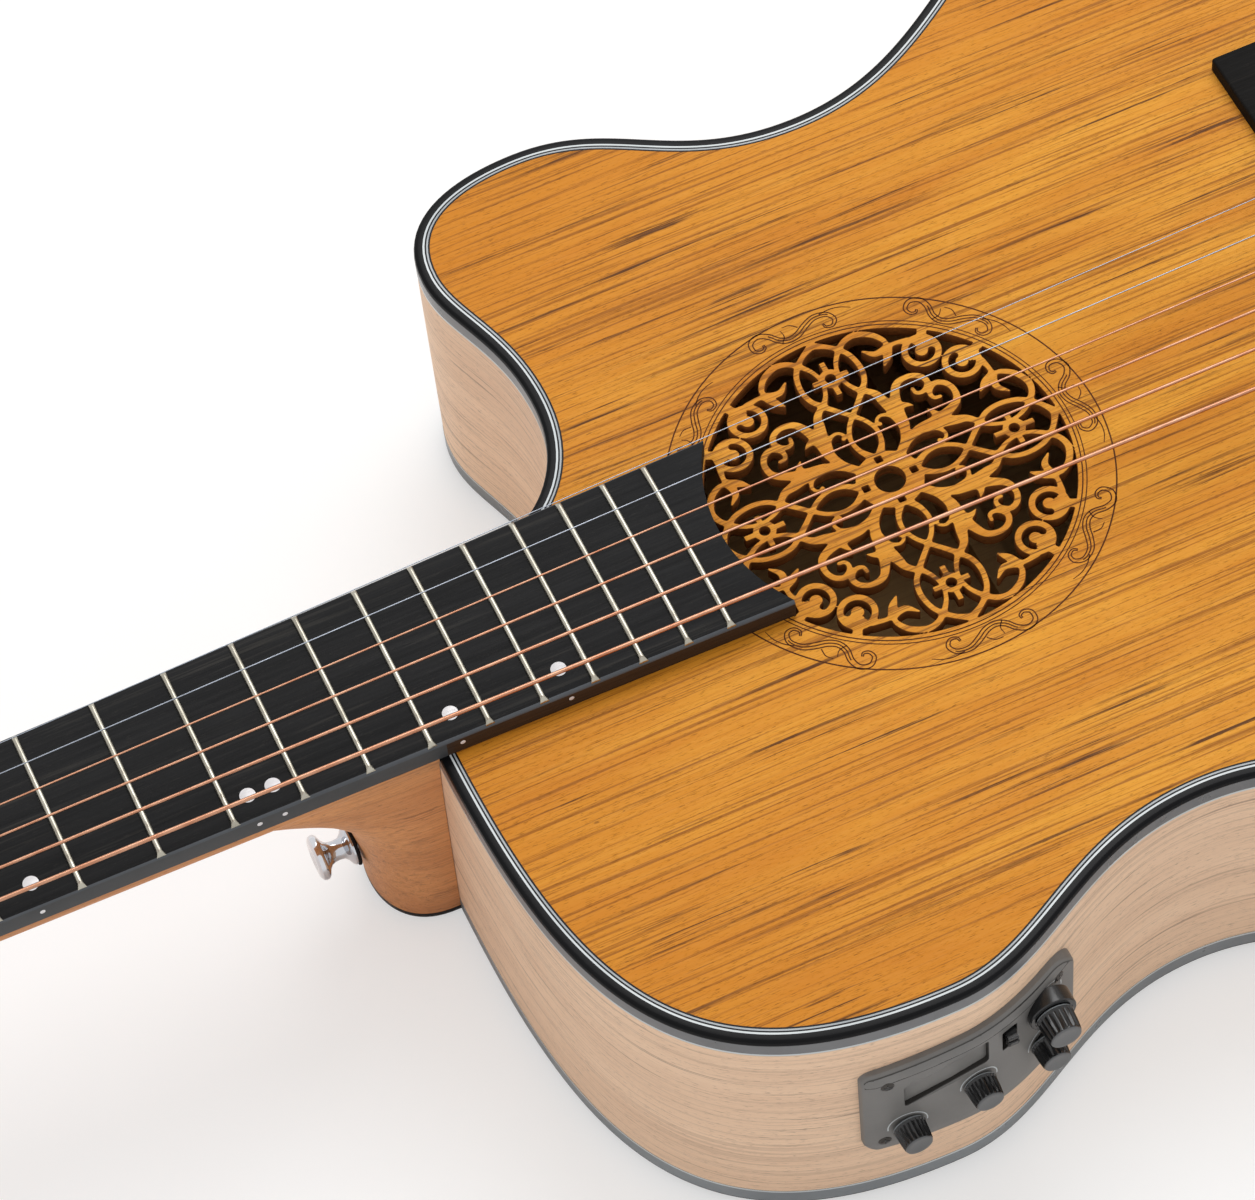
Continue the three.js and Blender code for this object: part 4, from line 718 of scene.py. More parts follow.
@dataclass(frozen=True)
class Plastic:
    """Moulded plastic or lacquer with fine unevenness and faint handling marks."""

    name: str
    shade: Shade
    worn: Shade
    roughness: float = 0.35
    texture: float = 900.0
    depth: float = 0.00001
    specular: float = 0.5
    coat: float = 0.0

    def material(self) -> bpy.types.Material:
        """Makes the material, with cloudy tone, fine texture and faint marks.

        Returns:
            The material.
        """
        sheet = Sheet(self.name)
        cloud = sheet.noise((40.0, 40.0, 40.0), 4.0, 0.6)
        fine = sheet.noise((self.texture, self.texture, self.texture), 3.0, 0.6)
        colour = sheet.ramp(cloud, [(0.35, paint(*self.shade)), (0.75, paint(*self.worn))])
        sheet.colour(sheet.blend(sheet.span(fine, 0.4, 0.75, 0.0, 0.25), colour, paint(*self.worn)))
        sheet.roughness(sheet.span(cloud, 0.3, 0.7, self.roughness - 0.05, self.roughness + 0.08))
        sheet.set(Specular_IOR_Level=self.specular, Coat_Weight=self.coat, Coat_Roughness=0.12)
        sheet.bump(fine, self.depth, 0.6)
        return sheet.material


@dataclass(frozen=True)
class Metal:
    """Plated or bare metal with a faint brushed or polished surface."""

    name: str
    shade: Shade
    tarnish: Shade
    roughness: float = 0.15
    brush: Place = (300.0, 300.0, 300.0)

    def material(self, lay: Lay = Lay.PLACE) -> bpy.types.Material:
        """Makes the material, with cloudy tarnish and brushed roughness.

        Args:
            lay: Where its coordinates come from.

        Returns:
            The material.
        """
        sheet = Sheet(self.name, lay)
        cloud = sheet.noise((60.0, 60.0, 60.0), 3.0, 0.6)
        scratch = sheet.noise(self.brush, 4.0, 0.65)
        colour = sheet.ramp(cloud, [(0.4, paint(*self.shade)), (0.8, paint(*self.tarnish))])
        sheet.colour(colour)
        sheet.roughness(sheet.span(scratch, 0.3, 0.7, self.roughness * 0.8, self.roughness * 1.5))
        sheet.set(Metallic=1.0)
        sheet.bump(scratch, 0.000002, 0.3)
        return sheet.material


@dataclass(frozen=True)
class WoundWire:
    """Bronze wrap wire round a steel core: ridges across the string's length, with painted shade in the grooves."""

    name: str
    shade: Shade
    bright: Shade
    painted_groove_shade: Shade
    pitch: float = 0.34

    def material(self) -> bpy.types.Material:
        """Makes the material, laid along the string's own length.

        Returns:
            The material.
        """
        sheet = Sheet(self.name, Lay.GRAIN)
        along = sheet.stretched((100 * math.pi / self.pitch, 0.0, 0.0))
        ridge = sheet.node("TexWave", along, Scale=1.0, wave_type="BANDS", bands_direction="X").outputs["Fac"]
        tint = sheet.noise((90.0, 90.0, 90.0), 3.0, 0.6)
        base = sheet.ramp(tint, [(0.3, paint(*self.shade)), (0.8, paint(*self.bright))])
        # Painted shade: the grooves between the wraps are darker.
        sheet.colour(sheet.blend(sheet.span(ridge, 0.0, 0.5, 0.55, 0.0), base, paint(*self.painted_groove_shade)))
        sheet.roughness(sheet.span(tint, 0.3, 0.7, 0.3, 0.42))
        sheet.set(Metallic=1.0)
        sheet.bump(ridge, 0.00003, 0.5)
        return sheet.material


class Finishes:
    """Every finish of the guitar, made once."""

    def __init__(self) -> None:
        """Makes the materials."""
        top = Wood("top_wood", (224, 159, 53), (193, 118, 28), (78, 42, 14), streak_share=0.95, pore_share=0.6,
                   along=30.0, across=560.0, roughness=0.46, specular=0.12, rim_tone=0.75, line_share=0.85)
        side = Wood("side_wood", (240, 208, 177), (222, 187, 157), (142, 120, 106), streak_share=0.7, roughness=0.52,
                    line_share=0.5)
        neck = Wood("neck_wood", (218, 154, 98), (184, 122, 76), (118, 78, 52), along=24.0, roughness=0.46,
                    specular=0.25)
        inner = Wood("inner_wood", (196, 160, 110), (164, 126, 82), (130, 96, 62), streak_share=0.3, pore_share=0.3,
                     along=12.0, across=300.0, roughness=0.8, specular=0.1)
        board = Wood("fingerboard_wood", (24, 24, 25), (16, 16, 17), (52, 50, 47), streak_share=0.6, pore_share=0.35,
                     across=420.0, roughness=0.62, specular=0.14)
        bridge = Wood("bridge_wood", (17, 15, 14), (10, 9, 8), (34, 30, 27), pore_share=0.4, along=22.0, across=420.0,
                      roughness=0.62, specular=0.08)
        self.top = top.material()
        self.side = side.material(Lay.GRAIN)
        self.back = Wood("back_wood", side.light, side.deep, side.streak, streak_share=0.7, along=22.0,
                         across=420.0).material()
        self.neck = neck.material()
        self.inner = inner.material()
        self.board = board.material()
        self.bridge = bridge.material()
        # Painted reflection of the soundboard's wood on the fingerboard's sides over the body.
        self.board_side_wood_reflection = Wood("board_side_painted_wood_reflection", (66, 48, 34), (48, 34, 24), (28, 20, 16), pore_share=0.4,
                           along=30.0).material()
        self.burnt = Wood("cut_wood", (138, 82, 38), (98, 56, 25), (52, 30, 15), streak_share=0.7, pore_share=0.5,
                          along=60.0, across=500.0, roughness=0.8, specular=0.05).material()
        self.engraved = Wood("burnt_line", (96, 52, 24), (70, 36, 16), (52, 28, 14), pore_share=0.3, along=60.0,
                             across=500.0, roughness=0.65, specular=0.1).material()
        self.black = Plastic("binding_black", (9, 9, 11), (16, 16, 18), roughness=0.3, texture=700.0,
                             specular=0.1).material()
        self.white = Plastic("binding_white", (200, 205, 206), (180, 186, 188), depth=0.00002).material()
        self.grey = Plastic("binding_grey", (156, 161, 164), (136, 142, 146), depth=0.00002).material()
        # Painted reflections: grey on the outer walls of the black bindings, which are black all round.
        self.binding_wall_reflection = Plastic("binding_wall_painted_reflection", (92, 93, 95), (112, 113, 115), roughness=0.3, specular=0.45).material()
        self.back_binding_wall_reflection = Plastic("back_binding_wall_painted_reflection", (128, 133, 137), (112, 117, 121), roughness=0.3,
                           specular=0.4).material()
        # Painted highlight on the fingerboard's rounded edges, and a painted grey reflection on its sides along the
        # neck.
        self.edge = Plastic("board_edge_painted_highlight", (60, 63, 68), (76, 80, 85), roughness=0.34, specular=0.45).material()
        self.board_side_reflection = Plastic("board_side_painted_reflection", (58, 59, 60), (72, 73, 74), roughness=0.42, specular=0.3).material()
        self.bone = Plastic("bone", (232, 226, 208), (214, 203, 178), roughness=0.42, texture=1400.0,
                            depth=0.00003).material()
        self.pearl = Plastic("pearl_dot", (232, 229, 230), (212, 210, 212), roughness=0.25, texture=500.0).material()
        self.knob = Plastic("knob_black", (20, 20, 21), (30, 30, 31), roughness=0.24, texture=1800.0,
                            depth=0.00002).material()
        self.cap = Plastic("knob_cap", (84, 85, 86), (104, 105, 106), roughness=0.38, texture=2200.0, depth=0.00003,
                           specular=0.35).material()
        self.panel = Plastic("panel_grey", (104, 102, 100), (120, 118, 115), roughness=0.42, texture=2600.0,
                             depth=0.00003, specular=0.35).material()
        # Painted shade, for the panel's upper band and the walls of its openings.
        self.panel_painted_shade = Plastic("panel_painted_shade_plastic", (42, 40, 38), (54, 51, 48), roughness=0.42, texture=2600.0,
                                   depth=0.00003, specular=0.35).material()
        self.felt = Plastic("felt", (26, 25, 25), (42, 40, 40), roughness=0.95, texture=3500.0, depth=0.0002,
                            specular=0.1).material()
        self.nickel = Metal("fret_nickel", (180, 176, 163), (148, 142, 128), roughness=0.26,
                            brush=(300.0, 60.0, 300.0)).material()
        self.chrome = Metal("chrome", (216, 216, 219), (186, 188, 194), roughness=0.07).material()
        self.steel = Metal("plain_steel", (156, 162, 172), (126, 132, 142), roughness=0.24,
                           brush=(200.0, 2000.0, 2000.0)).material(Lay.GRAIN)
        self.rod = Metal("rod_steel", (120, 122, 125), (84, 84, 88), roughness=0.4).material()
        self.screw = Metal("screw_black", (74, 71, 68), (44, 42, 40), roughness=0.3).material()
        self.bronze = WoundWire("wound_bronze", (176, 117, 88), (224, 181, 152), (112, 58, 38)).material()


# Body


@dataclass(frozen=True)
class Outline:
    """The body's outline: curves between named places, measured from the neck joint."""

    shoulder_flat: float = 20.0
    neck_side: float = 25.2
    bass_bout: Flat = (89.3, 149.5)
    treble_bout: Flat = (96.3, 148.0)
    waist: Flat = (171.3, 123.4)
    lower_bout: Flat = (378.0, 202.0)
    horn_tip: Flat = (56.3, 118.0)
    cutaway: Flat = (67.1, 68.0)
    cutaway_end: Flat = (27.0, 26.2)
    spacing: float = 2.6

    def curves(self) -> list[tuple[Flat, Flat, Flat, Flat]]:
        """Start, pull at the start, end and pull at the end of each curve, bass side first.

        Returns:
            The curves in the loop's order.
        """
        bass, treble, waist, lower = self.bass_bout, self.treble_bout, self.waist, self.lower_bout
        horn, cut, end = self.horn_tip, self.cutaway, self.cutaway_end
        return [
            ((0.0, -self.shoulder_flat), (0.0, -77.7), (bass[0], -bass[1]), (-80.0, 0.0)),
            ((bass[0], -bass[1]), (28.0, 0.0), (waist[0], -waist[1]), (-37.0, 0.0)),
            ((waist[0], -waist[1]), (61.5, 0.0), (lower[0], -lower[1]), (-126.0, 0.0)),
            ((lower[0], -lower[1]), (86.0, 0.0), (BODY_LENGTH, 0.0), (0.0, -122.0)),
            ((BODY_LENGTH, 0.0), (0.0, 122.0), lower, (86.0, 0.0)),
            (lower, (-126.0, 0.0), waist, (61.5, 0.0)),
            (waist, (-36.0, 0.0), treble, (31.0, 0.0)),
            (treble, (-16.3, 0.0), horn, (0.0, 25.2)),
            (horn, (0.0, -14.8), cut, (0.0, 24.0)),
            (cut, (0.0, -29.0), end, (20.0, 0.0)),
        ]

    def loop(self) -> list[Vector]:
        """Counter-clockwise points from the front's centre round the bass side and the tail.

        Returns:
            The flat points, in the guitar's frame.
        """
        points = [Vector((BODY_FRONT, 0.0))]
        for start, pull, end, pull_end in self.curves():
            a, d = Vector(start), Vector(end)
            b, c = a + Vector(pull), d + Vector(pull_end)
            steps = max(8, round(((d - a).length * 1.1) / self.spacing))
            for i in range(steps):
                t = i / steps
                at = a * (1 - t) ** 3 + b * (3 * t * (1 - t) ** 2) + c * (3 * t * t * (1 - t)) + d * t**3
                points.append(Vector((BODY_FRONT + at.x, at.y)))
        points.append(Vector((BODY_FRONT + self.cutaway_end[0], self.cutaway_end[1])))
        points.append(Vector((BODY_FRONT, self.neck_side)))
        return points


def back_height(y: float) -> float:
    """Height of the arched back's outer face; its middle is flat."""
    reach = max(abs(y) - BACK_FLAT_HALF, 0.0)
    return -BODY_DEPTH + reach * (abs(y) + BACK_FLAT_HALF) / (2 * BACK_ARCH_RADIUS)


@dataclass
class Scrollwork:
    """The lattice in the sound hole: strokes of one eighth, mirrored and turned to the whole."""

    cell: float = 0.32
    soften: float = 0.55
    stroke_share: float = 0.95
    boss: float = 9.3
    boss_hole: float = 4.2
    window_at: float = 7.1
    window_half: float = 1.0
    flower_at: float = 37.0
    flower: float = 3.2
    flower_hole: float = 1.45
    flower_bars: tuple[Flat, Flat] = ((5.9, 0.85), (0.85, 5.3))
    disc_at: Flat = (34.3, 26.1)
    disc: float = 5.6
    eye: float = 2.75
    eye_half: float = 0.92
    eye_span: Flat = (-20.0, -250.0)

    def strokes(self) -> list[tuple[tuple[Flat, ...], tuple[float, ...]]]:
        """Places and widths of each stroke: petal, lens, rim arc, arm with thorn and spur, hook and leaves.

        Returns:
            Places and widths of each stroke.
        """
        return [
            (((8.6, 1.2), (12, 3.3), (16, 3.9), (20, 2.5), (23.1, 0), (26.3, -3.0), (29.4, -5.8)),
             (2.6, 1.8, 1.6, 1.6, 1.7, 1.8, 2.0)),
            (((29.4, 5.6), (32.5, 8.0), (36.8, 8.9), (41.5, 8.1), (44.8, 6.2)), (1.9, 1.8, 1.8, 1.8, 1.9)),
            (((29.4, 5.6), (33, 3.4), (36.8, 2.6), (40.8, 3.4), (44.8, 6.0)), (1.9, 1.5, 1.3, 1.5, 1.9)),
            (((44.8, 6.2), (47.2, 3.4), (49.2, 0)), (1.9, 1.8, 2.6)),
            (((6.6, 6.2), (10, 9.2), (14, 11.0), (18.5, 11.3), (24, 13.1), (27.4, 15.3), (28.2, 18.8), (27.0, 21.7),
              (24.6, 22.9), (22.6, 21.8), (21.8, 20.1), (22.3, 18.6), (23.9, 18.3)),
             (2.2, 2.4, 3.4, 4.2, 3.0, 2.4, 2.0, 2.0, 2.0, 1.8, 1.6, 1.4, 1.3)),
            (((20.4, 13.0), (19.9, 14.6), (18.9, 16.2)), (2.6, 1.7, 0.3)),
            (((20.5, 10.6), (24.0, 9.5), (27, 8.6), (29.4, 6.4)), (4.0, 3.3, 2.5, 2.0)),
            (((14.5, 10.6), (18.4, 9.3), (19.8, 7.2), (19.4, 5.6), (18.2, 4.9), (17.4, 5.4)),
             (1.6, 1.6, 1.3, 1.2, 1.3, 1.5)),
            (((44.6, 6.0), (46.6, 8.6), (47.2, 12), (45.3, 16), (42.1, 18.3), (39.6, 18.3)),
             (1.9, 2.0, 2.2, 2.1, 1.8, 1.4)),
            (((39.6, 17.5), (39.8, 20.5), (39.2, 24)), (1.6, 1.6, 2.0)),
            (((39.5, 18.5), (36.8, 17.0), (34.4, 15.0)), (2.6, 2.6, 0.8)),
            (((39.5, 18), (38.9, 14.4), (41.2, 11.6)), (2.2, 2.2, 0.8)),
            (((38.5, 28.0), (42.0, 30.0)), (2.6, 3.4)),
        ]

    def joined(self, a: np.ndarray, b: np.ndarray) -> np.ndarray:
        """Two distances as one, with a soft fillet between the forms."""
        blend = np.maximum(self.soften - np.abs(a - b), 0) / self.soften
        return np.minimum(a, b) - blend**2 * self.soften / 4

    def stroke_field(self, u: np.ndarray, v: np.ndarray) -> np.ndarray:
        """Distance from the nearest stroke's edge at each place, negative inside.

        Args:
            u, v: The places, u along the eighth's straight side.

        Returns:
            The distances.
        """
        whole = np.full(u.shape, 1e3)
        for places, widths in self.strokes():
            rows = spline([(x, y, w / 2 * self.stroke_share) for (x, y), w in zip(places, widths)], 7)
            near = np.full(u.shape, 1e3)
            for (x0, y0, r0), (x1, y1, r1) in zip(rows, rows[1:]):
                dx, dy = x1 - x0, y1 - y0
                share = np.clip(((u - x0) * dx + (v - y0) * dy) / (dx * dx + dy * dy), 0, 1)
                near = np.minimum(near, np.hypot(u - x0 - share * dx, v - y0 - share * dy) - (r0 + share * (r1 - r0)))
            whole = self.joined(whole, near)
        return whole

    def field(self, x: np.ndarray, y: np.ndarray) -> np.ndarray:
        """Distance from the wood's edge in the quarter where x and y are positive, negative in wood.

        Args:
            x, y: The places, from the hole's centre.

        Returns:
            The distances.
        """
        u, v = np.maximum(x, y), np.minimum(x, y)
        wood = self.joined(self.joined(self.stroke_field(u, v), self.stroke_field(u, -v)), self.stroke_field(v, u))
        reach = np.hypot(x, y)
        wood = self.joined(wood, reach - self.boss)
        wood = np.minimum(wood, np.hypot(u - self.flower_at, v) - self.flower)
        for long, short in self.flower_bars:
            wood = np.minimum(wood, np.maximum(np.abs(u - self.flower_at) - long, np.abs(v) - short))
        dx, dy = u - self.disc_at[0], v - self.disc_at[1]
        wood = self.joined(wood, np.hypot(dx, dy) - self.disc)
        start, end = (math.radians(a) for a in self.eye_span)
        turn = np.clip(-np.mod(-np.arctan2(dy, dx) + start, 2 * np.pi) + start, end, start)
        eye = np.hypot(dx - self.eye * np.cos(turn), dy - self.eye * np.sin(turn)) - self.eye_half
        cuts = [eye, reach - self.boss_hole, np.hypot(u - self.flower_at, v) - self.flower_hole]
        cuts.append(np.maximum(np.abs(u - self.window_at), np.abs(v)) - self.window_half)
        for cut in cuts:
            wood = np.maximum(wood, -cut)
        return np.minimum(wood, HOLE_RADIUS - reach)

    def openings(self) -> list[list[Vector]]:
        """Clockwise loops of the openings, round the hole's centre.

        Returns:
            A loop for each opening.
        """
        count = int(HOLE_RADIUS / self.cell) + 4
        axis = (np.arange(count) + 0.5) * self.cell
        quarter = self.field(*np.meshgrid(axis, axis, indexing="ij"))
        half = np.vstack([quarter[::-1], quarter])
        grid = np.hstack([half[:, ::-1], half])
        first = -(count - 0.5) * self.cell
        return [self.thinned(loop) for loop in self.traced(grid, first) if len(loop) > 6]

    def traced(self, grid: np.ndarray, first: float) -> list[list[Vector]]:
        """Closed lines along which a grid of distances is zero, with the openings to their right.

        Args:
            grid: The distances, by x and y.
            first: x and y of the first grid point.

        Returns:
            The closed lines.
        """
        open_ = grid > 0
        steps: dict[tuple, tuple] = {}
        mixed = open_[:-1, :-1].astype(int) + open_[1:, :-1] + open_[:-1, 1:] + open_[1:, 1:]
        corner = ((0, 0), (1, 0), (1, 1), (0, 1))
        for i, j in np.argwhere((mixed > 0) & (mixed < 4)):
            inside = [bool(open_[i + a, j + b]) for a, b in corner]
            leaves, enters = [], []
            for k in range(4):
                a, b = corner[k], corner[(k + 1) % 4]
                key = tuple(sorted(((i + a[0], j + a[1]), (i + b[0], j + b[1]))))
                if inside[k] and not inside[(k + 1) % 4]:
                    leaves.append(key)
                elif inside[(k + 1) % 4] and not inside[k]:
                    enters.append(key)
            if len(leaves) == 2 and open_[i, j] and np.mean(grid[i : i + 2, j : j + 2]) > 0:
                enters.reverse()
            for start, end in zip(enters, leaves):
                steps[start] = end
        loops = []
        while steps:
            start, key = steps.popitem()
            chain = [start]
            while key != start and key in steps:
                chain.append(key)
                key = steps.pop(key)
            loops.append([self.crossing(grid, first, *pair) for pair in chain])
        return [self.clockwise(loop) for loop in loops]

    def crossing(self, grid: np.ndarray, first: float, a: tuple[int, int], b: tuple[int, int]) -> Vector:
        """The place between two grid points where the distance is zero."""
        share = grid[a] / (grid[a] - grid[b])
        return Vector((first + self.cell * mix(a[0], b[0], share), first + self.cell * mix(a[1], b[1], share)))

    @staticmethod
    def clockwise(loop: list[Vector]) -> list[Vector]:
        """The loop in clockwise order."""
        area = sum(a.x * b.y - b.x * a.y for a, b in zip(loop, loop[1:] + loop[:1]))
        return loop if area < 0 else loop[::-1]

    @staticmethod
    def thinned(loop: list[Vector], tolerance: float = 0.012) -> list[Vector]:
        """The loop without points that lie on the line between their neighbours.

        Args:
            loop: The loop's points.
            tolerance: How far off the line a point may lie and still go.

        Returns:
            The points that stay.
        """
        kept = [loop[0]]
        skipped: list[Vector] = []
        for i in range(1, len(loop)):
            ahead = loop[(i + 1) % len(loop)]
            span = ahead - kept[-1]
            trial = skipped + [loop[i]]
            off = max(abs(span.cross(p - kept[-1])) / max(span.length, 1e-9) for p in trial)
            if off < tolerance and span.length < 2.5:
                skipped = trial
            else:
                kept.append(loop[i])
                skipped = []
        return kept


@dataclass
class Body:
    """Soundboard with its scrollwork, back, bent sides and both bindings."""

    finishes: Finishes
    outline: Outline = field(default_factory=Outline)
    scrollwork: Scrollwork = field(default_factory=Scrollwork)
    binding_width: float = 4.62
    binding_height: float = 6.6
    back_thickness: float = 2.8
    side_thickness: float = 2.2
    lining_reach: float = 9.0
    lining_depth: float = 12.0
    lining_taper: float = 6.0
    edge_break: float = 0.14

    def build(self) -> None:
        """Builds every piece of the body."""
        self.loop = self.outline.loop()
        self.normals = left_normals(self.loop)
        self.lengths = [0.0]
        for a, b in zip(self.loop, self.loop[1:]):
            self.lengths.append(self.lengths[-1] + (b - a).length)
        self.soundboard()
        self.back()
        self.sides()
        self.top_binding()
        self.back_binding()
        self.engraving()

    def soundboard(self) -> None:
        """The plate with its scrollwork cut out; the cut walls are dark from the burning tool."""
        piece = Piece("soundboard_plate")
        centre = Vector((HOLE_CENTRE, 0.0))
        holes = [[p + centre for p in loop] for loop in self.scrollwork.openings()]
        soft = self.edge_break
        cut = ((soft, 0.0), (soft * 0.3, soft * 0.3), (0.0, soft), (0.0, TOP_THICKNESS))
        rim = ((self.binding_width, 0.0), (self.binding_width, TOP_THICKNESS))
        piece.cut_sheet(self.loop, holes, lambda p, depth: (p.x, p.y, -depth), rim, cut, slots=(0, 0, 1, 2))
        piece.build([self.finishes.top, self.finishes.burnt, self.finishes.inner], replaced=["soundboard"],
                    slot="top_wood", sharp=50)
        log.info("scrollwork: %d openings, %d edge points", len(holes), sum(map(len, holes)))

    def back(self) -> None:
        """The arched back."""
        piece = Piece("back_plate")
        edge = ((self.binding_width, 0.0), (self.binding_width, self.back_thickness))
        piece.cut_sheet(self.loop, [], lambda p, depth: (p.x, p.y, back_height(p.y) + depth), edge, spacing=14.0,
                        slots=(0, 0, 0, 1))
        piece.build([self.finishes.back, self.finishes.inner], replaced=["back"], slot="side_wood")

    def ring(self, piece: Piece, span: range, section: Callable[[float], Sequence[Flat]],
             slots: Sequence[int]) -> None:
        """Runs a section along part of the outline.

        Args:
            piece: The piece that gets the faces.
            span: Indices into the outline's loop, which may pass its end.
            section: Gives, at a distance across the guitar, the section as inset and height.
            slots: Finish slots of the section's stretches, the closing one last.
        """
        count = len(self.loop)
        rows = []
        for i in span:
            at, normal, run = self.loop[i % count], self.normals[i % count], self.lengths[i % count]
            corners = section(at.y)
            rows.append(piece.row([(at.x + normal.x * d, at.y + normal.y * d, z) for d, z in corners],
                                  [(run, z, d) for d, z in corners]))
        if len(span) == count:
            rows.append(rows[0])
        size = len(rows[0])
        for a, b in zip(rows, rows[1:]):
            for k in range(size):
                j = (k + 1) % size
                piece.face((a[k], b[k], b[j], a[j]), slots[k])
        if len(span) != count:
            piece.face(rows[0], slots[0])
            piece.face(rows[-1][::-1], slots[0])

    def side_section(self, y: float) -> list[Flat]:
        """Section of a bent side with its two linings.

        Args:
            y: Distance from the guitar's middle line.

        Returns:
            Inset and height of each corner.
        """
        low = back_height(y)
        floor = low + self.back_thickness + 0.1
        wall, reach = self.side_thickness, self.side_thickness + self.lining_reach
        roof = -TOP_THICKNESS - 0.1
        under = low + self.binding_height
        inset, deep = self.binding_width, self.lining_depth
        return [
            (0.06, -self.binding_height + 0.05), (0.06, under - 0.05), (inset, under - 0.05), (inset, floor),
            (reach, floor), (reach, floor + deep - self.lining_taper), (wall, floor + deep),
            (wall, roof - deep), (reach, roof - deep + self.lining_taper), (reach, roof),
            (inset, roof), (inset, -self.binding_height + 0.05),
        ]

    def sides(self) -> None:
        """The two bent sides, which meet at the tail."""
        tail = max(range(len(self.loop)), key=lambda i: self.loop[i].x)
        slots = [0, 0] + [1] * 10
        bass, treble = range(0, tail + 1), range(tail, len(self.loop) + 1)
        for name, span, node in (("bass_rim", bass, "bass_side"), ("treble_rim", treble, "treble_side")):
            piece = Piece(name)
            self.ring(piece, span, self.side_section, slots)
            piece.build([self.finishes.side, self.finishes.inner], replaced=[node], slot="side_wood")

    def top_binding(self) -> None:
        """Black, grey, black and white lines inside a black edge with a painted grey reflection on its wall, a pale
        line under it.
        """
        f = self.finishes
        low = -self.binding_height
        section = [
            (4.6, -2.0), (4.6, -0.02), (4.1, 0.0), (3.62, 0.0), (3.15, 0.0), (2.6, 0.0), (1.25, 0.0), (0.65, -0.12),
            (0.25, -0.42), (0.05, -0.95), (0.0, -1.5), (0.0, low + 0.75), (0.0, low), (2.4, low),
        ]
        # Slot 0, on the edge's outer wall, is a painted grey reflection on the black binding.
        slots = [1, 1, 3, 1, 2, 1, 1, 1, 1, 1, 0, 2, 1, 1]
        piece = Piece("top_edge_binding")
        self.ring(piece, range(len(self.loop)), lambda y: section, slots)
        piece.build([f.binding_wall_reflection, f.black, f.white, f.grey], replaced=["top_binding"], slot="binding", sharp=30)

    def back_binding(self) -> None:
        """The back's black edge, with a painted grey reflection on its outer wall, and its pale line."""
        f = self.finishes

        def section(y: float) -> list[Flat]:
            """The section where the arched back has its height.

            Args:
                y: Distance from the guitar's middle line.

            Returns:
                Inset and height of each corner.
            """
            low, inset = back_height(y), self.binding_width
            high = low + self.binding_height
            return [
                (inset, low + 2.0), (inset, low), (1.0, low), (0.45, low + 0.12), (0.12, low + 0.45),
                (0.0, low + 1.0), (0.0, high - 0.8), (0.0, high), (2.4, high),
            ]

        piece = Piece("back_edge_binding")
        # Slot 0, on the edge's outer wall, is a painted grey reflection on the black binding.
        self.ring(piece, range(len(self.loop)), section, [1, 1, 1, 1, 1, 0, 2, 1, 1])
        piece.build([f.back_binding_wall_reflection, f.black, f.white], replaced=["back_binding"], slot="binding", sharp=30)

    def ribbon(self, piece: Piece, rows: np.ndarray, closed: bool = False) -> None:
        """Adds a raised line on the soundboard.

        Args:
            piece: The piece that gets the line.
            rows: x and y from the hole's centre, and width.
            closed: Whether the line ends where it starts.
        """
        high, low = 0.03, -0.2
        edges: list[list[int]] = [[], [], [], []]
        count = len(rows)
        for i in range(count):
            before = rows[(i - 1) % count] if closed or i else rows[0]
            after = rows[(i + 1) % count] if closed or i + 1 < count else rows[-1]
            along = Vector((after[0] - before[0], after[1] - before[1])).normalized()
            side = Vector((-along.y, along.x)) * (rows[i][2] / 2)
            x, y = rows[i][0] + HOLE_CENTRE, rows[i][1]
            for edge, (way, z) in zip(edges, ((side, high), (-side, high), (side, low), (-side, low))):
                edge.append(piece.point((x + way.x, y + way.y, z)))
        left, right, left_low, right_low = edges
        for a, b in ((left, right), (left_low, left), (right, right_low), (right_low, left_low)):
            piece.band(a, b, 0, closed)

    def engraving(self) -> None:
        """Burnt rings and scrolls round the sound hole."""
        piece = Piece("burnt_rings")
        for radius, width in ((51.3, 0.36), (52.4, 0.3), (60.3, 0.42)):
            ring = [(p.x, p.y, width) for p in circle(radius, 160)]
            self.ribbon(piece, np.array(ring), closed=True)
        scroll = [
            (55.4, 11.6, 0.4), (54.3, 11.5, 0.6), (53.6, 12.9, 0.8), (54.6, 14.6, 1.0), (57.2, 14.5, 1.2),
            (58.6, 12.0, 1.4), (57.4, 9.2, 1.6), (54.9, 7.0, 1.7), (53.8, 4.4, 1.8), (54.4, 1.5, 1.9),
            (56.2, -1.4, 1.9), (57.6, -4.6, 1.7), (57.1, -8.1, 1.4), (54.8, -9.6, 1.1), (53.0, -8.4, 0.8),
            (53.2, -6.5, 0.6), (54.5, -6.0, 0.4),
        ]
        tail = [(57.9, -6.4, 0.34), (58.2, -9.6, 0.32), (57.6, -12.6, 0.28), (56.2, -15.2, 0.2)]
        tip = [(53.4, 6.6, 0.32), (55.4, 5.2, 0.3), (57.6, 5.4, 0.2)]
        leaf = [(56.6, 0.6, 0.32), (58.2, 2.4, 0.3), (58.4, 4.6, 0.2)]
        middle = spline(scroll, 5)
        lines = [spline(stroke, 5) for stroke in (tail, tip, leaf)]
        along = np.gradient(middle[:, :2], axis=0)
        across = np.stack([-along[:, 1], along[:, 0]], axis=1) / np.hypot(*along.T)[:, None]
        thin = np.full((len(middle), 1), 0.36)
        for side in (-0.5, 0.5):
            lines.append(np.hstack([middle[:, :2] + across * middle[:, 2:] * side, thin]))
        stem = slice(30, 62)
        lines.append(np.hstack([middle[stem, :2], thin[stem]]))
        for turn in range(8):
            spin = Matrix.Rotation(math.pi / 4 * turn, 2)
            for rows in lines:
                turned = [(*(spin @ Vector(row[:2])), row[2]) for row in rows]
                self.ribbon(piece, np.array(turned))
        piece.build([self.finishes.engraved], slot="top_wood")


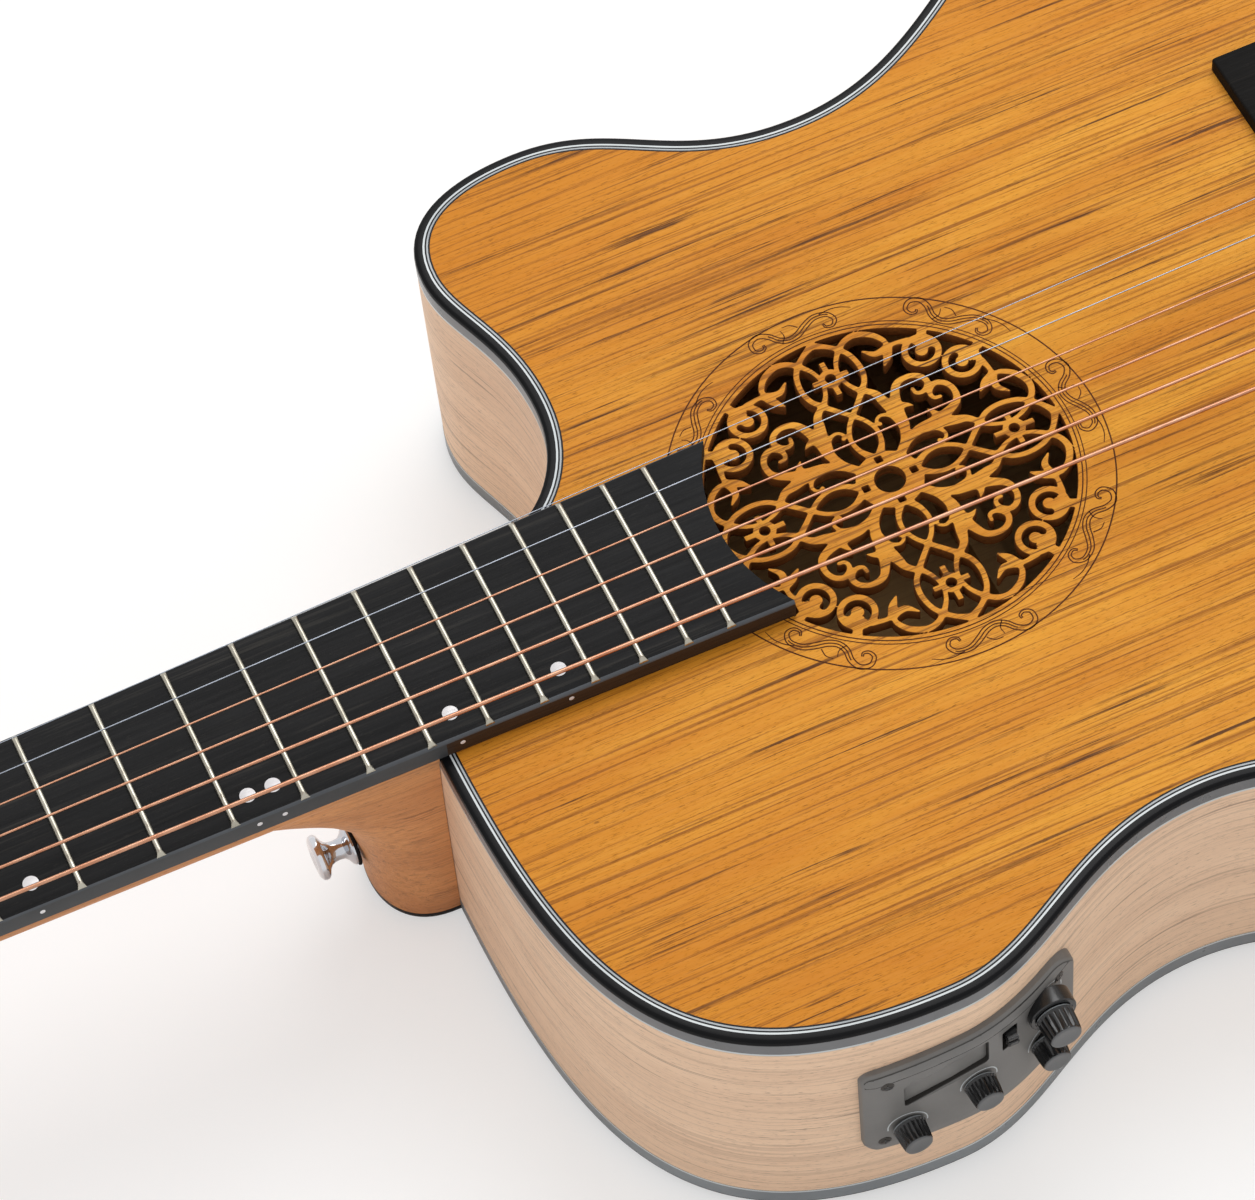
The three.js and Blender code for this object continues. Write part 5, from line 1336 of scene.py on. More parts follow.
@dataclass
class Neck:
    """Neck shaft with its heel and headstock, fingerboard, frets, dots and nut."""

    finishes: Finishes
    depth_at_nut: float = 13.8
    depth_at_heel: float = 15.8
    heel_width: float = 39.0
    heel_length_at_cap: float = 19.5
    heel_length_at_neck: float = 84.0
    heel_floor: float = -87.1
    cap_thickness: float = 2.2
    head_length: float = HEAD_LENGTH
    head_thickness: float = 13.5
    head_half_at_nut: float = 22.5
    head_half_at_shoulder: float = HEAD_HALF_AT_SHOULDER
    head_half_at_top: float = HEAD_HALF_AT_TOP
    overlay: float = 2.0
    board_end_gap: float = 0.5
    fret_gap: float = 0.35
    dot_radius: float = 2.15
    dot_share: float = -0.705
    side_dot_radius: float = 0.75
    fret_count: int = 20
    fret_width: float = 1.75

    def build(self) -> None:
        """Builds every piece of the neck."""
        self.wood()
        self.heel_cap()
        self.head_plates()
        self.board()
        self.frets()
        self.dots()
        self.nut()

    def section(self, half: float, depth: float, steps: int = 28) -> list[Flat]:
        """The D section as across and height, from one top corner round to the other.

        Args:
            half: Half the width.
            depth: Depth at the middle.
            steps: Segments round it.

        Returns:
            Across and height of each point.
        """
        points = []
        for i in range(steps + 1):
            angle = math.pi * i / steps
            points.append((half * math.cos(angle), -depth * math.sin(angle) ** 1.1))
        return points

    def heel_ring(self, z: float, reach: float, half: float, steps: int = 36) -> list[Place]:
        """A level section of the heel, round at the nut's side and flat against the body.

        Args:
            z: The level.
            reach: How far it stands out from the body.
            half: Half the width.
            steps: Segments round it.

        Returns:
            The places.
        """
        ring = []
        for i in range(steps + 1):
            angle = math.pi * (i / steps - 0.5)
            out = math.copysign(abs(math.sin(angle)) ** 0.92, math.sin(angle))
            ring.append((BODY_FRONT - 0.1 - reach * abs(math.cos(angle)) ** 0.8, half * out, z))
        return ring

    def heel_sizes(self, share: float) -> Flat:
        """Reach and half width of the heel at a share of its depth.

        Args:
            share: 0 at the fingerboard, 1 at the cap.

        Returns:
            The reach and the half width.
        """
        stops = ((0, 1), (0.1, 0.86), (0.19, 0.6), (0.27, 0.4), (0.36, 0.24), (0.5, 0.1), (0.7, 0.03), (1, 0))
        rows = spline(stops, 12)
        reach = float(np.interp(share, rows[:, 0], rows[:, 1]))
        half = mix(half_width(BODY_FRONT), self.heel_width / 2, share**0.6)
        return mix(self.heel_length_at_cap, self.heel_length_at_neck, reach), half

    def wood(self) -> None:
        """Shaft, heel, throat and headstock plank as one piece of wood."""
        piece = Piece("neck_wood_body")
        rings = []
        for i in range(41):
            x = mix(-3.0, BODY_FRONT - 0.1, i / 40)
            depth = mix(self.depth_at_nut, self.depth_at_heel, max(x, 0) / BODY_FRONT)
            section = self.section(half_width(x), depth)
            rings.append([(x, y * side_width(x, y) / half_width(x), z) for y, z in section])
        piece.loft(rings)
        levels = [i / 44 for i in range(45)]
        piece.loft([self.heel_ring(self.heel_floor * s - 0.02, *self.heel_sizes(s)) for s in levels])
        throat = []
        for i in range(17):
            share = i / 16
            x = -self.head_length * 0.16 * share
            half = mix(half_width(0), self.head_half_at_nut - 0.2, share)
            depth = mix(self.depth_at_nut, self.head_thickness - 0.25, eased(share))
            lift = mix(0.0, -0.05, share)
            squared = mix(0.8, 0.22, eased(share))
            ring = []
            for k in range(29):
                angle = math.pi * k / 28
                across = math.copysign(abs(math.cos(angle)) ** squared, math.cos(angle))
                down = depth * math.sin(angle) ** mix(0.9, 0.3, eased(share))
                ring.append(in_head((x, half * across, lift - down)))
            throat.append(ring)
        piece.loft(throat)
        rim = ((0.2, 0.0), (0.0, 0.2), (0.0, self.head_thickness - 1.6), (0.5, self.head_thickness - 0.45),
               (1.6, self.head_thickness))
        piece.cut_sheet(self.head_outline(), [], head_lift(0.0), rim)
        piece.build([self.finishes.neck], replaced=["neck"], slot="neck_wood")

    def head_outline(self) -> list[Vector]:
        """Counter-clockwise outline of the headstock in its own frame.

        Returns:
            The flat points.
        """
        length, nut = self.head_length, self.head_half_at_nut
        shoulder, top = self.head_half_at_shoulder, self.head_half_at_top
        side = spline([(-1.5, nut), (-0.03 * length, nut + 0.2), (-0.08 * length, mix(nut, shoulder, 0.3)),
                       (-0.13 * length, mix(nut, shoulder, 0.75)), (-0.2 * length, shoulder)], 6)
        crown = spline([(-length * 0.99, top), (-length, top * 0.9), (-length * 0.985, top * 0.55),
                        (-length * 0.958, top * 0.22), (-length * 0.962, 0.0)], 6)
        upper = [Vector(p) for p in side] + [Vector(p) for p in crown]
        lower = [Vector((p.x, -p.y)) for p in upper[::-1][1:]]
        return upper + lower

    def head_plates(self) -> None:
        """The black face of the headstock and the cover of the rod's pocket with its screws."""
        f = self.finishes
        face = Piece("head_face")
        edge = ((0.5, -self.overlay - 0.02), (0.12, -self.overlay + 0.1), (0.0, -self.overlay + 0.5), (0.0, -0.02))
        face.cut_sheet(self.head_outline(), [], head_lift(0.0), edge)
        face.build([f.bridge], replaced=["headstock_overlay"], slot="dark_wood")
        cover = Piece("rod_cover_plate")
        half = [(-2.0, 6.9), (-6.0, 7.6), (-11.6, 9.0), (-17.0, 10.6), (-21.8, 10.9), (-26.0, 9.9), (-30.4, 6.4),
                (-32.6, 2.2), (-33.0, 0.0)]
        side = [Vector(p) for p in spline(half, 4)]
        loop = side + [Vector((p.x, -p.y)) for p in side[::-1][1:]]
        rim = ((0.7, -1.6), (0.15, -1.35), (0.0, -0.9), (0.0, 0.0))
        cover.cut_sheet(loop, [], head_lift(self.overlay + 0.3), rim)
        screw = ((0.0, 2.35), (0.9, 2.3), (1.35, 2.0), (1.5, 1.6), (1.5, 1.2))
        for x, y in ((-6.0, 4.6), (-6.0, -4.6), (-29.0, 0.0)):
            cover.turned(screw, in_head((x, y, self.overlay)), head_way((0, 0, 1)), 20, [1] * 4)
        cover.build([f.knob, f.screw], replaced=["truss_rod_cover"], slot="black_plastic")

    def heel_cap(self) -> None:
        """The black cap under the heel."""
        piece = Piece("heel_foot")
        reach, half = self.heel_sizes(1.0)
        bottom = self.heel_floor - self.cap_thickness
        shapes = ((self.heel_floor - 0.02, 0.0), (bottom + 0.5, 0.0), (bottom + 0.12, 0.15), (bottom, 0.5))
        piece.loft([self.heel_ring(z, reach - inset, half - inset) for z, inset in shapes])
        piece.build([self.finishes.black], replaced=["heel_cap"], slot="black_plastic", sharp=30)

    def board_end(self, share: float) -> float:
        """Where the fingerboard's curved end lies at a share of its half width.

        Args:
            share: Share of the half width, negative on the bass side.

        Returns:
            The end's x.
        """
        radius = HOLE_RADIUS - self.board_end_gap
        x = HOLE_CENTRE - radius
        for _ in range(4):
            x = HOLE_CENTRE - math.sqrt(radius**2 - (half_width(x) * share) ** 2)
        return x

    def board(self) -> None:
        """The cambered fingerboard with smooth round upper edges that carry a painted highlight, and sides with
        painted reflections.
        """
        piece = Piece("fingerboard_body")
        f = self.finishes
        lanes = [-1 + 2 * i / 20 for i in range(21)]
        stations = 56
        rows, places = [], []
        for k in range(stations + 1):
            over, under, edges = [], [], []
            for lane in lanes:
                x = mix(0.0, self.board_end(lane), k / stations)
                y = (side_width(x, lane) - self.edge_round(x, lane)) * lane
                over.append((x, y, BOARD_TOP - camber_drop(y)))
                under.append((x, y, 0.02))
            for side in (-1, 1):
                x = mix(0.0, self.board_end(side), k / stations)
                half, r = side_width(x, side), self.edge_round(x, side)
                low = BOARD_TOP - camber_drop(half) - r * 0.8
                edges.append([(x, side * half, 0.02), (x, side * half, low),
                              (x, side * (half - r * 0.3), low + r * 0.6)])
            places.append(mix(0.0, self.board_end(-1), k / stations))
            rows.append(piece.row(edges[0] + over + edges[1][::-1] + under[::-1]))
        size = len(rows[0])
        for k, (a, b) in enumerate(zip(rows, rows[1:])):
            # Sides: painted reflections, grey along the neck and soundboard brown over the body; rounded edges (1, 2,
            # 23, 24): painted highlight.
            wall = 2 if places[k] < BODY_FRONT else 3
            for i in range(size):
                j = (i + 1) % size
                finish = wall if i in (0, 25) else 1 if i in (1, 2, 23, 24) else 0
                piece.face((a[i], b[i], b[j], a[j]), finish)
        for ring in (rows[0], rows[-1]):
            for i in range(3, 23):
                piece.face((ring[i], ring[i + 1], ring[49 - i], ring[50 - i]), 0)
            piece.face((ring[0], ring[1], ring[2], ring[3], ring[47]), 0)
            piece.face((ring[23], ring[24], ring[25], ring[26], ring[27]), 0)
        piece.build([f.board, f.edge, f.board_side_reflection, f.board_side_wood_reflection], replaced=["fingerboard"], slot="fingerboard_wood",
                    sharp=50)

    @staticmethod
    def edge_round(x: float, side: float) -> float:
        """Width of the rounded upper edge, wider over the body and crisper on the treble side."""
        return mix(0.5, 0.95, eased((x - 260) / 130)) * (0.4 if side > 0 else 1.0)

    def frets(self) -> None:
        """Frets with round crowns and bevelled ends, set in the fingerboard."""
        piece = Piece("fret_wires")
        crown = [(-1.0, -0.25), (-0.98, 0.2), (-0.8, 0.62), (-0.45, 0.92), (0.0, 1.0), (0.45, 0.92), (0.8, 0.62),
                 (0.98, 0.2), (1.0, -0.25)]
        for number in range(1, self.fret_count + 1):
            x = fret_place(number)
            if x > self.board_end(0.98) + 1:
                continue
            bass, treble = side_width(x, -1) - self.fret_gap, side_width(x, 1) - self.fret_gap
            ends = [(0.0, 0.0, 1.5), (0.1, 0.4, 1.48), (0.5, 0.75, 1.36), (1.0, 0.94, 1.14), (1.6, 1.0, 1.0)]
            stations = [(d - bass, high, wide) for d, high, wide in ends]
            stations += [((treble - 2) * s / 9, 1.0, 1.0) for s in range(-8, 9)]
            stations += [(treble - d, high, 1.0) for d, high, _ in ends[::-1]]
            rings = []
            for y, high, wide in stations:
                ground = BOARD_TOP - camber_drop(y)
                half = wide * self.fret_width / 2
                lifts = [(h * high if h > 0 else h) * FRET_HEIGHT for _, h in crown]
                rings.append([(x + a * half, y, ground + lift) for (a, _), lift in zip(crown, lifts)])
            piece.loft(rings)
        piece.build([self.finishes.nickel], slot="chrome", sharp=40)

    def dots(self) -> None:
        """Round marks on the fingerboard near its bass edge, and small ones in its side."""
        piece = Piece("fret_marks")
        half_gap = 3.5
        middles = [(fret_place(n - 1) + fret_place(n)) / 2 for n in (3, 5, 7, 9, 15, 17)]
        twelfth = (fret_place(11) + fret_place(12)) / 2
        for x in middles + [twelfth - half_gap, twelfth + half_gap]:
            y = half_width(x) * self.dot_share
            top = BOARD_TOP - camber_drop(y)
            r = self.dot_radius
            mark = ((0.0, 0.05), (r - 0.1, 0.05), (r, 0.0), (r, -1.0))
            piece.turned(mark, (x, y, top), (0, y / BOARD_CAMBER, 1), 36)
            r = self.side_dot_radius
            mark = ((0.0, 0.03), (r - 0.05, 0.03), (r, 0.0), (r, -0.8))
            piece.turned(mark, (x, -half_width(x), BOARD_TOP / 2), (0, -1, 0), 24)
        piece.build([self.finishes.pearl], slot="bone")

    def nut(self) -> None:
        """The nut with its rounded back edge and string slots."""
        piece = Piece("nut_bone")
        half, top = NUT_WIDTH / 2, NUT_TOP
        cuts = [STRING_SPREAD_AT_NUT / 2 - STRING_SPREAD_AT_NUT * i / 5 for i in range(6)]
        even = {round(-half + NUT_WIDTH * i / 30, 3) for i in range(31)}
        stations = sorted({-half, half, *even, *(c + d for c in cuts for d in (-0.9, -0.35, 0.0, 0.35, 0.9))})
        rings = []
        for y in stations:
            nearest = min(abs(y - c) for c in cuts)
            notch = 0.5 if nearest < 0.4 else 0.0
            end = 0.5 * eased((abs(y) - half + 0.8) / 0.8)
            high = top - notch - end
            back = [(-NUT_LENGTH + 0.02, high - 2.3), (-NUT_LENGTH + 0.5, high - 1.6),
                    (-NUT_LENGTH + 2.0, high - 0.7), (-1.2, high - 0.12), (-0.35, high)]
            rings.append([(-NUT_LENGTH + 0.02, y, 0.0), *((x, y, z) for x, z in back), (-0.3, y, 0.0)])
        piece.loft(rings)
        piece.build([self.finishes.bone], replaced=["nut"], slot="bone", sharp=30)


@dataclass
class Tuners:
    """Six machine heads: case and bush on the guitar, post and button on their own bodies."""

    finishes: Finishes
    first: float = 42.0
    spacing: float = 39.0
    half: float = 22.0
    fan: float = 1.5
    post_radius: float = 3.0
    post_above: float = 15.0
    post_tail: float = 5.0
    worm_offset: float = 5.5
    case: Place = (19.0, 15.0, 9.5)
    button: Place = (13.0, 18.0, 7.0)
    button_gap: float = 2.6
    edge_clearance: float = 1.4
    under: float = -13.8
    overlay_top: float = 2.3

    def place(self, i: int) -> tuple[float, float, int]:
        """A post's place in the headstock's frame, and its side.

        Args:
            i: The tuner's number, from 0.

        Returns:
            x and y of the post, and 1 on the treble side or -1 on the bass side.
        """
        side = 1 if i < 3 else -1
        row = i if side > 0 else 5 - i
        return -(self.first + self.spacing * row), side * (self.half + self.fan * row), side

    def build(self) -> None:
        """Builds all six."""
        for i in range(6):
            self.housing(i)
            self.post(i)
            self.knob(i)

    def housing(self, i: int) -> None:
        """The closed case under the head, its screws, and the bush with its washer on top.

        Args:
            i: The tuner's number, from 0.
        """
        x, y, side = self.place(i)
        piece = Piece(f"machine_case_{i + 1}")
        centre = x - self.worm_offset / 2
        long, wide, high = self.case
        loop = rounded_box(centre - long / 2, centre + long / 2, y - wide / 2, y + wide / 2, (3.4,) * 4, 8)
        edge = ((0.0, 0.0), (0.0, high - 1.9), (0.25, high - 1.05), (0.9, high - 0.35), (1.9, high))
        piece.cut_sheet(loop, [], head_lift(self.under), edge)
        up = head_way((0, 0, 1))
        bore = self.post_radius + 0.25
        bush = (
            (bore, 1.95), (4.7, 1.9), (5.0, 1.7), (5.0, 1.0), (6.7, 0.85), (7.0, 0.55), (7.0, 0.0), (4.8, 0.0),
            (4.8, -13.0), (self.post_radius + 0.3, -13.0), (bore, 1.95),
        )
        piece.turned(bush, in_head((x, y, self.overlay_top + 0.02)), up, 44)
        edge_y = y + side * wide / 2
        collar = ((2.5, -0.4), (3.1, -0.2), (3.1, 0.9), (2.7, 1.2), (2.3, 1.2))
        axis = head_way((0, side, 0))
        piece.turned(collar, in_head((x - self.worm_offset, edge_y, self.under - high / 2)), axis, 28)
        screw = ((2.5, 0.45), (2.4, 0.55), (1.9, 0.6), (0.0, 0.6))
        piece.turned(screw, in_head((centre - 6.2, y, self.under - high - 0.02)), -up, 24)
        piece.build([self.finishes.chrome], replaced=[f"tuner_housing_{i + 1}"], slot="chrome", sharp=35)

    def post(self, i: int) -> None:
        """The string post with its waist and crown, and a dark sheet of painted shade in its string hole.

        Args:
            i: The tuner's number, from 0.
        """
        x, y, _ = self.place(i)
        piece = Piece(f"string_post_{i + 1}")
        r, top = self.post_radius, self.post_above
        foot = self.under - self.overlay_top - self.post_tail
        profile = [
            (0.0, foot), (r * 0.9, foot), (r, -18.0), (r, top - 6.6), (r * 0.97, top - 5.8), (r * 0.85, top - 4.6),
            (r * 0.82, top - 3.5), (r * 0.85, top - 2.4), (r * 0.97, top - 1.4), (r, top - 0.9),
            (r * 0.93, top - 0.3), (r * 0.78, top), (r * 0.3, top), (0.0, top - 0.3),
        ]
        up = head_way((0, 0, 1))
        piece.turned(profile, in_head((x, y, self.overlay_top)), up, 36)
        eye = in_head((x, y, self.overlay_top + top - 3.5))
        # The string hole is dark sheets of painted shade in the screw finish.
        piece.turned(((1.05, -r * 0.86), (1.05, r * 0.86)), eye, (0, 1, 0), 16, [1])
        piece.turned(((0.0, r * 0.865), (1.0, r * 0.865)), eye, (0, 1, 0), 16, [1])
        piece.turned(((1.0, -r * 0.865), (0.0, -r * 0.865)), eye, (0, 1, 0), 16, [1])
        piece.build([self.finishes.chrome, self.finishes.screw], f"post_{i + 1}", [f"tuner_post_{i + 1}"], "chrome")

    def knob(self, i: int) -> None:
        """The button: an oval grip with a dished middle on its shaft.

        Args:
            i: The tuner's number, from 0.
        """
        x, y, side = self.place(i)
        piece = Piece(f"tuning_button_{i + 1}")
        long, wide, thick = self.button
        share = (-x / HEAD_LENGTH - 0.2) / 0.8
        edge = mix(HEAD_HALF_AT_SHOULDER, HEAD_HALF_AT_TOP, share)
        start = edge + self.edge_clearance + self.button_gap
        worm = self.under - self.case[2] / 2
        base = x - self.worm_offset
        rings = []
        for k in range(25):
            along = k / 24
            bulge = math.sin(math.pi * along) ** 0.42 if 0 < along < 1 else 0.0
            half_wide = max(wide / 2 * bulge, 0.4)
            half_thick = max(thick / 2 * mix(0.55, 1.0, abs(2 * along - 1) ** 1.5) * min(1.0, bulge * 1.5), 0.3)
            ring = []
            for s in range(32):
                turn = 2 * math.pi * s / 32
                c, n = math.cos(turn), math.sin(turn)
                across = base + half_wide * math.copysign(abs(c) ** 0.75, c)
                high = worm + half_thick * math.copysign(abs(n) ** 0.6, n)
                ring.append(in_head((across, side * (start + long * along), high)))
            rings.append(ring)
        piece.loft(rings)
        inner = abs(y) + self.case[1] / 2 - 6
        axis = head_way((0, side, 0))
        length = start + 3 - inner
        neck = ((0.0, 0.0), (2.0, 0.0), (2.0, length - 6.5), (2.3, length - 5.0), (3.2, length - 3.6),
                (3.2, length - 2.6), (0.0, length))
        piece.turned(neck, in_head((base, side * inner, worm)), axis, 28)
        piece.build([self.finishes.chrome], f"button_{i + 1}", [f"tuner_button_{i + 1}"], "chrome")


@dataclass
class Bridge:
    """Bridge with its thin wings, saddle and six pins."""

    finishes: Finishes
    front: float = 645.5
    length: float = 30.0
    half: float = 85.0
    height: float = 10.0
    wing: float = 4.6
    core_half: float = 38.0
    wing_half: float = 58.0
    corner: float = 0.8
    saddle_x: float = 653.0
    saddle_half: float = 37.0
    saddle_top: float = 15.9
    pin_x: float = 664.0
    pin_spread: float = 56.0

    def height_at(self, y: float) -> float:
        """The bridge's height at a distance from its middle."""
        return mix(self.wing, self.height, eased((self.wing_half - abs(y)) / (self.wing_half - self.core_half)))

    def build(self) -> None:
        """Builds every piece."""
        self.wood()
        self.saddle()
        self.pins()

    def wood(self) -> None:
        """The black block with round upper edges."""
        piece = Piece("bridge_block")
        ends = [(-self.half, 0.5, 0.45), (-self.half + 0.15, 0.2, 0.2), (-self.half + 0.6, 0.0, 0.0)]
        middle = [(mix(-self.half + 2, self.half - 2, i / 70), 0.0, 0.0) for i in range(71)]
        stations = ends + middle + [(-y, a, b) for y, a, b in ends[::-1]]
        rings = []
        for y, inset, fall in stations:
            high = self.height_at(y) - fall
            x0, x1 = self.front + inset, self.front + self.length - inset
            r = self.corner
            arc = [(math.sin(math.pi / 2 * k / 5), math.cos(math.pi / 2 * k / 5)) for k in range(6)]
            rear = [(x1 - r + r * c, high - r + r * s) for s, c in arc]
            fore = [(x0 + r - r * c, high - r + r * s) for s, c in arc[::-1]]
            rings.append([(x, y, z) for x, z in [(x0, 0.0), (x1, 0.0), *rear, *fore]])
        piece.loft(rings)
        piece.build([self.finishes.bridge], replaced=["bridge"], slot="dark_wood", sharp=35)

    def saddle(self) -> None:
        """The bone saddle with a crown that follows the fingerboard's camber."""
        piece = Piece("saddle_bone")
        rings = []
        for i in range(41):
            y = mix(-self.saddle_half, self.saddle_half, i / 40)
            end = eased((abs(y) - self.saddle_half + 3.0) / 3.0)
            high = self.saddle_top - camber_drop(y) - 1.1 * end
            crown = ((-1.5, -3.4), (-1.45, -1.2), (-1.1, -0.42), (-0.5, -0.06), (0.0, 0.0), (0.5, -0.06),
                     (1.1, -0.42), (1.45, -1.2), (1.5, -3.4))
            upper = [(self.saddle_x + a, y, high + b) for a, b in crown]
            rings.append([(self.saddle_x - 1.5, y, 6.6), *upper, (self.saddle_x + 1.5, y, 6.6)])
        piece.loft(rings)
        piece.build([self.finishes.bone], replaced=["saddle"], slot="bone")

    def pins(self) -> None:
        """Six black pins with a pale dot in the head."""
        for i in range(6):
            piece = Piece(f"pin_{i + 1}")
            head = self.height + 2.2
            profile = [
                (0.0, head - 26.0), (2.1, head - 25.6), (2.2, head - 24.0), (2.42, head - 0.5), (2.9, head - 0.2),
                (3.35, head + 0.15), (3.6, head + 0.8), (3.55, head + 1.3), (3.1, head + 2.0), (2.2, head + 2.5),
                (1.3, head + 2.72), (1.25, head + 2.8), (0.0, head + 2.84),
            ]
            y = self.pin_spread * (0.5 - i / 5)
            piece.turned(profile, (self.pin_x, y, 0.0), (0, 0, 1), 36, [0] * 11 + [1])
            piece.build([self.finishes.knob, self.finishes.pearl], replaced=[f"bridge_pin_{i + 1}"],
                        slot="black_plastic")


@dataclass
class Strings:
    """Six strings, each one unbroken tube from its winding on the post to the bridge."""

    finishes: Finishes
    tuners: Tuners
    bridge: Bridge
    spread_at_nut: float = STRING_SPREAD_AT_NUT
    spread_at_saddle: float = 57.4
    shift_at_saddle: float = 0.8
    pin_radius: float = 2.45
    winding_turns: float = 2.5
    core_share: float = 0.88
    winding_gap: float = 0.12
    gap: float = 0.3

    def across(self, i: int, spread: float) -> float:
        """A string's distance from the middle where the strings have a spread."""
        return spread * (0.5 - i / 5)

    def winding(self, i: int, nut: Vector) -> list[Vector]:
        """The helix on the post, from its end down to where the string leaves for the nut.

        Args:
            i: The string's number, from 0.
            nut: Where the string lies on the nut.

        Returns:
            The places, from the wire's end on.
        """
        x, y, side = self.tuners.place(i)
        thick = STRING_DIAMETERS[i]
        radius = self.tuners.post_radius + thick / 2 + 0.03
        cos, sin = math.cos(HEAD_TILT), math.sin(HEAD_TILT)
        dx, dz = nut.x + NUT_LENGTH, nut.z
        local = Vector((dx * cos + dz * sin, nut.y, -dx * sin + dz * cos))
        reach = math.hypot(local.x - x, local.y - y)
        bearing = math.atan2(local.y - y, local.x - x)
        first = bearing - side * math.acos(radius / reach)
        low = self.tuners.overlay_top + 2.6 + thick
        steps = 28
        points = []
        for k in range(int(self.winding_turns * steps) + 1):
            angle = first - side * 2 * math.pi * k / steps
            high = low + (thick + self.winding_gap) * k / steps
            points.append(in_head((x + radius * math.cos(angle), y + radius * math.sin(angle), high)))
        return points[::-1]

    def build(self) -> None:
        """Builds the strings."""
        top, bridge = NUT_TOP, self.bridge
        for i, thick in enumerate(STRING_DIAMETERS):
            r = thick / 2
            y0 = self.across(i, self.spread_at_nut)
            y1 = self.across(i, self.spread_at_saddle) + self.shift_at_saddle
            y2 = self.across(i, bridge.pin_spread)
            nut = Vector((-0.4, y0, top + r))
            drop = bridge.pin_x - self.pin_radius - self.gap - r
            crest = Vector((bridge.saddle_x, y1, bridge.saddle_top - camber_drop(y1) + r))
            fall = [
                Vector((bridge.saddle_x + 0.9, y1, crest.z - 0.15)),
                Vector((drop - 2.2, mix(y1, y2, 0.8), bridge.height + 2.2 + r)),
                Vector((drop - 1.0, mix(y1, y2, 0.95), bridge.height + 1.0 + r)),
                Vector((drop - 0.3, y2, bridge.height + 0.2)),
                Vector((drop, y2, bridge.height - 1.2)),
                Vector((drop, y2, bridge.height - 9.0)),
            ]
            winding = self.winding(i, nut)
            rise = [Vector((-4.4, mix(y0, winding[-1].y, 0.12), top + r - 0.9)), Vector((-2.2, y0, top + r - 0.22))]
            route = winding + rise + [nut, crest] + fall
            piece = Piece(f"string_wire_{i + 1}")
            piece.tube(route, [r * self.core_share] * len(route), 14)
            plain = i < 2
            finish = self.finishes.steel if plain else self.finishes.bronze
            slot = "string_steel" if plain else "string_bronze"
            piece.build([finish], replaced=[f"string_{i + 1}"], slot=slot, sharp=60)


